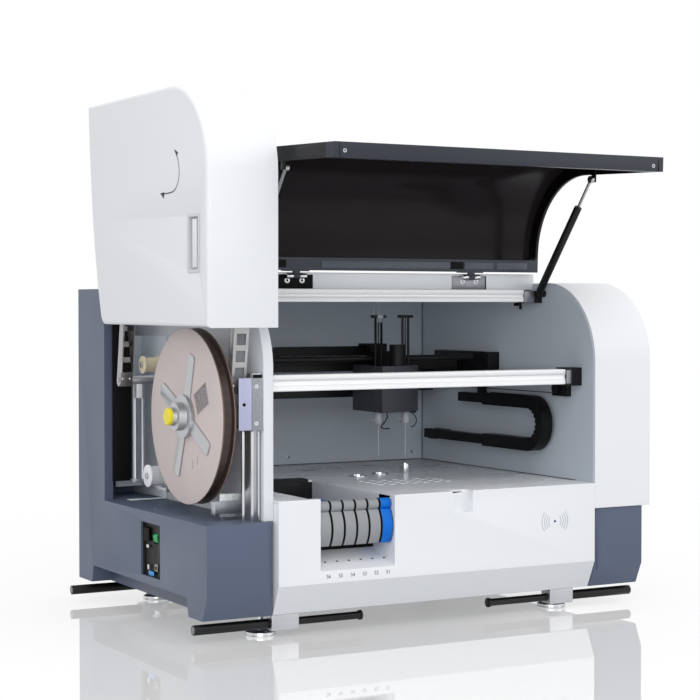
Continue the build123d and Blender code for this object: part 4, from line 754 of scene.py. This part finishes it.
def screw_heads(name, body, facing, places, radius, height, socket):
    """Chrome screw heads at points, all facing one way, with sizes in millimetres."""
    carrier = bpy.data.meshes.new("points")
    carrier.from_pydata([tuple(place) for place in places], [], [])
    attribute = carrier.attributes.new("facing", "FLOAT_VECTOR", "POINT")
    attribute.data.foreach_set("vector", list(facing) * len(places))
    screws.grow(name, carrier, "screw_chrome", body, "steel",
                {"Head Radius": radius * mm, "Head Height": height * mm,
                 "Socket Radius": socket * mm})


print_lift = 0.2
toward_front = Vector((0.0, -1.0, 0.0))
toward_left = Vector((-1.0, 0.0, 0.0))
upwards = Vector((0.0, 0.0, 1.0))


def written(name, text, size, centre):
    """Dark letters that stand on the front face."""
    data = bpy.data.curves.new(name, "FONT")
    data.body = text
    data.size = size * mm
    data.align_x = "CENTER"
    data.extrude = print_lift * mm / 2
    mesh = frozen(linked(name + "_letters", data))
    mesh.transform(Matrix.Translation(centre) @ Matrix.Rotation(radians(90.0), 4, "X"))
    placed(name, mesh, "ink_dark", "base")


arm_way = Vector((0.0, -0.14609, 0.98930))
arm_face = Vector((0.0, -0.98930, -0.14609))
arm_pivot_z = 455.0


def on_arm(pivot, across, along, out):
    """Point in an arm's own frame: across it, along it from its lower pivot, out of its front."""
    x, depth = pivot
    return at(x + across, depth, arm_pivot_z) + (arm_way * along + arm_face * out) * mm


def arm_plate(name, look, body, slot, width, pivot, half, along, out):
    """Flat plate parallel to an arm's front, between limits along the arm and out of it."""
    corners = [on_arm(pivot, side * half, length, out[0])
               for side, length in ((-1, along[0]), (1, along[0]), (1, along[1]), (-1, along[1]))]
    Form().prism(corners, arm_face * (out[1] - out[0]) * mm).piece(name, look, body, slot, width)


# White ends of the front panel, a black strip of painted shade under the racks and the plate
# beside them
end_thickness = 3.6
end_profile = ((4.2, 245.8), (59.5, 245.8), (59.5, 42.5), (28.2, 42.5), (4.2, 96.2))
for end_name, end_x in (("left", -340.8), ("right", 356.2)):
    Form().prism([at(end_x, depth, z) for depth, z in end_profile],
                 Vector((end_thickness * mm, 0, 0))).piece(
        "panel_end_" + end_name, "white_shell", "base", "white_shell", 0.6)
boxes("rack_shade_strip", "black_rubber_and_shade", "base", "black_plastic", 0.5,
      ((-254.6, -99.4), (81.0, 84.6), (144.8, 157.7)))
boxes("bay_side_plate", "white_shell", "base", "white_shell", 0.0,
      ((-99.4, -97.8), (62.0, 328.0), (200.0, 246.2)))

# Lamps of the rack slots on the ramp, and the slots' numbers below
slot_count = 6
first_lamp, lamp_pitch, first_number, number_pitch = -227.5, 25.0, -239.0, 25.1
ramp_foot, ramp_rise, ramp_run, lamp_depth = 118.0, 27.0, 85.0, 35.0
ramp_out = Vector((0.0, -ramp_rise, ramp_run)).normalized()
slot_lamps = Form()
for i in range(slot_count):
    centre = at(first_lamp + i * lamp_pitch, lamp_depth,
                ramp_foot + lamp_depth * ramp_rise / ramp_run)
    slot_lamps.turned(centre - ramp_out * 0.3 * mm, ramp_out,
                      [(0.0, 2.4), (0.8, 2.4), (1.2, 1.6)], 16)
slot_lamps.piece("slot_lamps", "ink_dark", "base", "black_plastic")
for i in range(slot_count):
    slot_number = slot_count - i
    written(f"slot_number_{slot_number}", f"S{slot_number}", 9.5,
            at(first_number + i * number_pitch, -print_lift / 2, 105.0))

# Round reader mark on the front panel
mark_x, mark_z, mark_stretch = 263.3, 180.0, 1.04
reader_mark = Form()
for side_turn in (0.0, pi):
    turns = [side_turn + radians(turn) for turn in range(-38, 39, 4)]
    for mark_radius in (14.0, 19.0, 24.0, 29.5):
        reader_mark.stroke([at(mark_x + mark_radius * mark_stretch * cos(turn), 0.0,
                               mark_z + mark_radius * sin(turn)) for turn in turns],
                           1.3, toward_front, print_lift)
reader_mark.piece("reader_mark", "ink_pale", "base", "black_plastic")
Form().turned(at(mark_x, 0.1, mark_z), toward_front, [(0.0, 2.6), (0.2, 2.6), (0.3, 2.4)],
              24).piece("reader_dot", "ink_blue", "base", "black_plastic")

# Curved arrow that shows how the side cover swings, as depths and heights on its face
cover_face = -500.0
arrow_line = ((86.5, 870.0), (79.5, 859.0), (75.4, 845.0), (75.2, 832.0), (80.0, 820.5),
              (87.8, 812.0), (97.0, 806.4), (108.0, 804.0), (122.0, 803.2), (146.0, 803.0))
arrow_heads = (((97.5, 880.5), (84.0, 875.0), (79.4, 873.0), (86.0, 866.5)),
               ((160.5, 804.6), (141.5, 806.0), (143.0, 794.0)))
arrow = Form().stroke([at(cover_face, depth, z) for depth, z in arrow_line],
                      2.2, toward_left, print_lift)
for head in arrow_heads:
    arrow.prism([at(cover_face, depth, z) for depth, z in head], toward_left * print_lift * mm)
arrow.piece("swing_arrow", "ink_dark", "raised_cover", "black_plastic")

# Screws of the lid's end caps, sunk into its front bar
lid_front, lid_screw_depth = -210.9, -209.6
screw_heads("lid_screws", "lid", toward_front,
            [at(-321.5, lid_screw_depth, 863.0), at(335.0, lid_screw_depth, 861.0)],
            3.8, 1.4, 1.9)

# Reel bay: galvanised sheets, a back sheet of painted shade, guide sleeve and bracket strip
boxes("bay_side_sheet", "galvanised", "base", "steel", 0.3,
      ((-363.2, -361.6), (452.0, 581.0), (230.0, 539.0)),
      ((-421.0, -363.0), (579.0, 581.0), (230.0, 539.0)))
boxes("bay_tray_sheet", "galvanised", "base", "steel", 0.3,
      ((-440.0, -363.4), (452.0, 470.0), (214.4, 216.0)),
      ((-363.4, -361.8), (452.0, 560.0), (216.0, 253.0)))
# Black sheet at the back of the bay: painted shade
boxes("bay_back_shade_sheet", "black_rubber_and_shade", "base", "black_plastic", 0.5,
      ((-464.0, -423.0), (486.0, 489.0), (251.0, 600.0)))
boxes("guide_sleeve", "roller_white", "base", "roller_white", 1.2,
      ((-438.8, -427.2), (421.5, 434.5), (419.0, 447.0)))
boxes("slotted_strip", "zinc_strip", "base", "steel", 0.3,
      ((-424.0, -382.0), (70.5, 72.0), (219.0, 262.0)),
      ((-424.0, -382.0), (70.5, 84.0), (260.6, 262.2)))
# Slots of the strip, painted black as their shade
boxes("strip_slot_shade", "black_rubber_and_shade", "base", "black_plastic", 0.0,
      ((-414.0, -390.0), (70.2, 70.6), (243.0, 248.0)),
      ((-414.0, -390.0), (70.2, 70.6), (230.0, 233.0)))

# Front post: carrier block, screw plate, stop, shade of its hole, screws and its column's bright
# edges
post_plate_face = 20.2
boxes("post_carrier", "post_lilac", "base", "steel", 0.6,
      ((-409.4, -384.0), (20.6, 22.4), (378.0, 471.5)))
boxes("post_screw_plate", "grey_metal_and_shade", "base", "steel", 0.6,
      ((-383.2, -361.6), (post_plate_face, 22.4), (377.0, 471.5)))
boxes("post_stop", "black_rubber_and_shade", "base", "black_plastic", 0.8,
      ((-380.5, -362.5), (22.0, 34.0), (471.6, 477.5)))
# Black disc in the plate: painted shade of its hole
Form().turned(at(-399.0, 20.7, 424.0), toward_front, [(0.0, 3.4), (0.4, 3.0)], 20).piece(
    "post_hole_shade", "black_rubber_and_shade", "base", "black_plastic")
for edge_name, edge_x in (("outer", -397.0), ("inner", -379.0), ("rear", -366.0)):
    boxes("column_edge_" + edge_name, "shaft_steel", "base", "steel", 0.5,
          ((edge_x - 2.2, edge_x + 2.2), (28.6, 30.2), (213.6, 377.4)))
screw_heads("post_screws", "base", toward_front,
            [at(-375.5, post_plate_face, z) for z in (456.0, 390.0)], 4.2, 1.8, 2.0)

# Arms: plates of painted shade behind the windows, and solid lower ends with their screws
# Shade behind the windows is painted grey on the front arm and black on the rear
for arm_name, pivot, half, window_shade_look in (
        ("front", (-400.5, 50.0), 12.3, "arm_window_grey"),
        ("rear", (-462.0, 428.0), 10.8, "black_rubber_and_shade")):
    arm_body = arm_name + "_swing_arm"
    arm_plate(arm_name + "_arm_shade_plate", window_shade_look, arm_body, "black_plastic", 0.0,
              pivot, half, (14.0, 184.0), (5.2, 6.6))
    arm_plate(arm_name + "_arm_foot", "foot_metal", arm_body, "steel", 0.4,
              pivot, half + 1.9, (-11.0, 17.0), (8.9, 9.6))
    screw_heads(arm_name + "_arm_screws", arm_body, arm_face,
                [on_arm(pivot, side * half, 4.0, 9.5) for side in (-0.7, 0.7)], 2.6, 1.2, 1.2)

# Connection panel, its fittings standing out to the left
io_x, io_root = -476.0, -475.4
boxes("mains_inlet", "black_rubber_and_shade", "base", "black_plastic", 1.2,
      ((io_x - 1.4, io_root), (272.0, 300.0), (156.0, 181.0)))
boxes("rating_plate_blank", "port_white", "base", "roller_white", 0.3,
      ((io_x - 0.4, io_root), (276.0, 286.0), (143.5, 149.5)))
boxes("data_port", "port_white", "base", "roller_white", 0.4,
      ((io_x - 0.9, io_root), (274.5, 280.5), (103.0, 112.0)))
boxes("network_jack", "jack_metal", "base", "steel", 0.4,
      ((io_x - 0.9, io_root), (232.0, 246.0), (104.0, 117.0)))
boxes("network_jack_mouth", "black_rubber_and_shade", "base", "black_plastic", 0.4,
      ((io_x - 1.2, io_root), (235.0, 243.0), (106.5, 113.0)))
boxes("usb_port", "port_blue", "base", "black_plastic", 0.4,
      ((io_x - 0.9, io_root), (251.0, 275.0), (93.0, 101.0)))

# Crossbar brackets at the right, and the lower bar's end painted grey as shade
bracket_z = (606.8, 630.2)
boxes("upper_bracket_face", "grey_metal_and_shade", "base", "steel", 0.6,
      ((313.0, 337.5), (178.6, 180.2), bracket_z))
boxes("upper_bracket_end", "black_metal", "base", "black_metal", 0.6,
      ((337.8, 356.0), (178.4, 180.2), bracket_z))
# Grey end of the white lower crossbar: painted shade
boxes("lower_bar_shaded_end", "grey_metal_and_shade", "base", "silver_plastic", 0.6,
      ((320.2, 332.0), (41.6, 43.0), (446.0, 473.0)))

# Screws: chamber's back wall, base top, gantry carriages and hinge leaves
base_top = 213.0
screw_heads("liner_screws", "base", toward_front,
            [at(x, 653.0, 268.0) for x in (13.8, 328.8)], 3.2, 1.2, 1.4)
screw_heads("base_screws", "base", upwards,
            [at(x, depth, base_top) for x, depth in (
                (-413.0, 370.0), (-407.5, 94.0), (-452.0, 300.0))], 3.4, 1.6, 1.6)
screw_heads("carriage_screws", "bridge", upwards,
            [at(x, depth, 502.0) for x in (-333.0, -320.0, 337.0, 350.0)
             for depth in (352.0, 540.0)], 3.2, 1.4, 1.5)
screw_heads("leaf_screws", "base", toward_front,
            [at(hinge_x + shift, 212.6, 649.5) for hinge_x in (-199.0, 200.0)
             for shift in (-16.0, 16.0)], 5.6, 2.4, 2.6)

# Lid: seams of its end caps, then its rail's paler strips and notches painted black as shade
boxes("lid_seams", "black_rubber_and_shade", "lid", "black_plastic", 0.0, *(
    ((seam_x - 0.5, seam_x + 0.5), (lid_front + 0.05, lid_front + 0.9), (851.0, 877.0))
    for seam_x in (-331.5, 346.5)))
rail_face = (193.6, 195.1)
for strip_name, strip_x in (("left", (-150.0, 143.0)), ("right", (178.0, 247.0)),
                            ("end", (255.0, 330.0))):
    boxes("rail_strip_" + strip_name, "rail_strip", "lid", "black_gloss", 0.4,
          (strip_x, rail_face, (674.0, 688.0)))
for notch_name, notch_x in (("left", (-245.0, -226.0)), ("right", (146.0, 175.0))):
    boxes("rail_notch_shade_" + notch_name, "black_rubber_and_shade", "lid", "black_plastic", 0.0,
          (notch_x, rail_face, (674.0, 688.5)))

# Pockets behind the hinges: thin plates whose black and grey are painted shade
pocket_z = (634.0, 660.6)
boxes("hinge_pocket_shade_left", "black_rubber_and_shade", "base", "black_plastic", 0.3,
      ((-340.6, -159.0), (211.6, 213.4), pocket_z))
boxes("hinge_pocket_shade_right", "grey_metal_and_shade", "base", "silver_plastic", 0.3,
      ((160.0, 238.5), (211.8, 213.4), pocket_z))
boxes("hinge_pocket_edge_shade", "black_rubber_and_shade", "base", "black_plastic", 0.0,
      ((238.8, 241.2), (211.8, 213.4), pocket_z))

# Seams of the chamber liner, and slots of the deck painted black as their shade
boxes("liner_seams", "rail_grey", "base", "black_plastic", 0.0,
      ((356.4, 357.8), (651.2, 652.8), (250.4, 654.0)),
      ((356.8, 357.9), (62.0, 652.0), (250.2, 251.6)),
      ((-338.0, 357.0), (651.6, 652.8), (250.2, 251.6)))
boxes("deck_slot_shade", "black_rubber_and_shade", "base", "black_plastic", 0.0, *(
    ((x, x + length), (depth, depth + 5.0), (249.6, 250.3))
    for x, depth, length in ((-150.0, 470.0, 26.0), (-20.0, 520.0, 30.0), (150.0, 560.0, 26.0),
                             (250.0, 470.0, 34.0), (-230.0, 540.0, 22.0))))

# Gantry: skirt below the beam, carriage block beside the head, hoses and tubing at the probes
boxes("beam_skirt", "black_metal", "bridge", "black_metal", 0.5,
      ((-336.0, 232.0), (466.0, 470.0), (407.0, 447.0)))
boxes("head_side_block", "black_metal", "head", "black_plastic", 0.8,
      ((176.5, 204.0), (424.0, 440.0), (372.0, 391.5)))
left_hose = ((92.0, 360.0, 381.0), (95.0, 360.0, 370.0), (90.0, 359.5, 361.0),
             (82.0, 359.0, 353.0), (79.0, 359.0, 348.0), (86.0, 359.0, 345.0),
             (99.0, 359.0, 345.5))
right_hose = ((150.0, 360.0, 381.0), (158.5, 360.0, 374.0), (164.0, 360.0, 366.0),
              (165.5, 360.0, 358.0), (159.0, 359.5, 349.0), (151.0, 359.0, 347.0))
Form().tube(left_hose, 1.3).tube(right_hose, 1.1).piece(
    "probe_hoses", "hose_black", "head", "black_plastic")
loop_depth = 368.0
loop_line = ((66.0, 580.6), (65.5, 590.0), (67.5, 600.0), (71.0, 606.0), (75.5, 603.0),
             (79.0, 593.0), (80.5, 580.6))
Form().tube([(x, loop_depth, z) for x, z in loop_line], 0.8, 6).piece(
    "probe_loop", "barrel_clear", "needle_left", "silver_plastic")

# Small lever behind the upper crossbar, and painted light on the inner face of the side cover's
# handle recess
boxes("crossbar_lever", "black_rubber_and_shade", "base", "black_plastic", 0.5,
      ((301.0, 306.0), (180.6, 200.0), (600.0, 606.6)),
      ((304.5, 308.5), (180.6, 186.0), (593.0, 606.6)))
# White strip that stands for the lit inner face of the handle's recess: painted light
boxes("handle_lit_strip", "roller_white", "raised_cover", "roller_white", 0.8,
      ((-500.6, -498.6), (1.0, 18.5), (667.5, 752.5)))

# Slit marks low on the reel's front flange
boxes("reel_slits", "ink_dark", "reel", "black_plastic", 0.0, *(
    ((reel_x - 0.1, reel_x + 0.3), (depth - 0.6, depth + 0.6), (low, low + 17.0))
    for depth, low in ((143.8, 302.0), (121.8, 311.0))))


# Studio: floor, world, lamps and camera
def studio_floor():
    """Pale floor with the machine's shadow and faint reflection, fading into the background."""
    fade_start, fade_length = 0.9, 1.6
    look = Look("studio_floor")
    far = look.maths("SQRT", look.x * look.x + look.y * look.y)
    fade = look.limited((far - fade_start) / fade_length)
    seen = look.seen()
    pale = look.mix(look.noise(2.0), srgb(246, 246, 247), srgb(249, 249, 250))
    look.set("Base Color", look.mix(seen, srgb(168, 170, 174), pale))
    look.set("Roughness", 0.9)
    gloss = look.node("ShaderNodeBsdfAnisotropic", None, {"Color": pure_white, "Roughness": 0.01})
    glow = look.node("ShaderNodeEmission", None, {"Color": pure_white, "Strength": 1.0})
    ground = look.node("ShaderNodeMixShader", None,
                       {0: look.limited(fade * 0.4 + 0.6) * seen,
                        1: look.surface.outputs[0], 2: glow.outputs[0]})
    whole = look.node("ShaderNodeMixShader", None,
                      {0: look.limited(0.42 - fade * 0.3) * seen,
                       1: ground.outputs[0], 2: gloss.outputs[0]})
    look.feed(look.tree.nodes["Material Output"].inputs["Surface"], whole.outputs[0])
    return look.material


floor_half = 9
floor_mesh = bpy.data.meshes.new("floor")
floor_mesh.from_pydata([(-floor_half, -floor_half, 0), (floor_half, -floor_half, 0),
                        (floor_half, floor_half, 0), (-floor_half, floor_half, 0)],
                       [], [(0, 1, 2, 3)])
floor_mesh.materials.append(studio_floor())
linked("floor", floor_mesh)

# World: full white where it is seen, a little less where it lights the machine
ambient = 0.98
world = bpy.data.worlds.new("studio")
bpy.context.scene.world = world
world.use_nodes = True
sky = Graph(world.node_tree)
background = world.node_tree.nodes["Background"].inputs
sky.feed(background["Strength"], sky.seen() * (1.0 - ambient) + ambient)
sky.feed(background["Color"], pure_white)


def lamp(name, place, target, size, power):
    """Large soft lamp that looks at a target; places and sizes in metres, power in watts."""
    data = bpy.data.lights.new(name, "AREA")
    data.shape = "RECTANGLE"
    data.size, data.size_y = size
    data.energy = power
    made = linked(name, data)
    made.location = place
    made.rotation_euler = (Vector(target) - Vector(place)).to_track_quat("-Z", "Y").to_euler()


lamp("key", (-1.9, -3.1, 1.0), (0.1, 0.0, 0.45), (2.4, 1.6), 26.0)
lamp("fill", (2.4, -2.6, 1.3), (0.1, 0.0, 0.4), (2.0, 2.0), 8.0)
lamp("top", (-0.3, -2.0, 2.9), (0.0, 0.0, 0.3), (2.4, 2.0), 18.0)

camera_data = bpy.data.cameras.new("camera")
camera_data.lens = 93.53
camera_data.sensor_width = 36.0
camera_data.clip_end = 60.0
camera = linked("camera", camera_data)
camera_place = (-1.80894, -3.13209, 0.60257)
camera_axes = ((0.87376, -0.48636, 0.0), (0.01211, 0.02176, 0.99969),
               (-0.48621, -0.87349, 0.02490))
camera.matrix_world = Matrix.Translation(camera_place) @ Matrix(camera_axes).transposed().to_4x4()
bpy.context.scene.camera = camera
bpy.context.scene.view_settings.view_transform = "Standard"
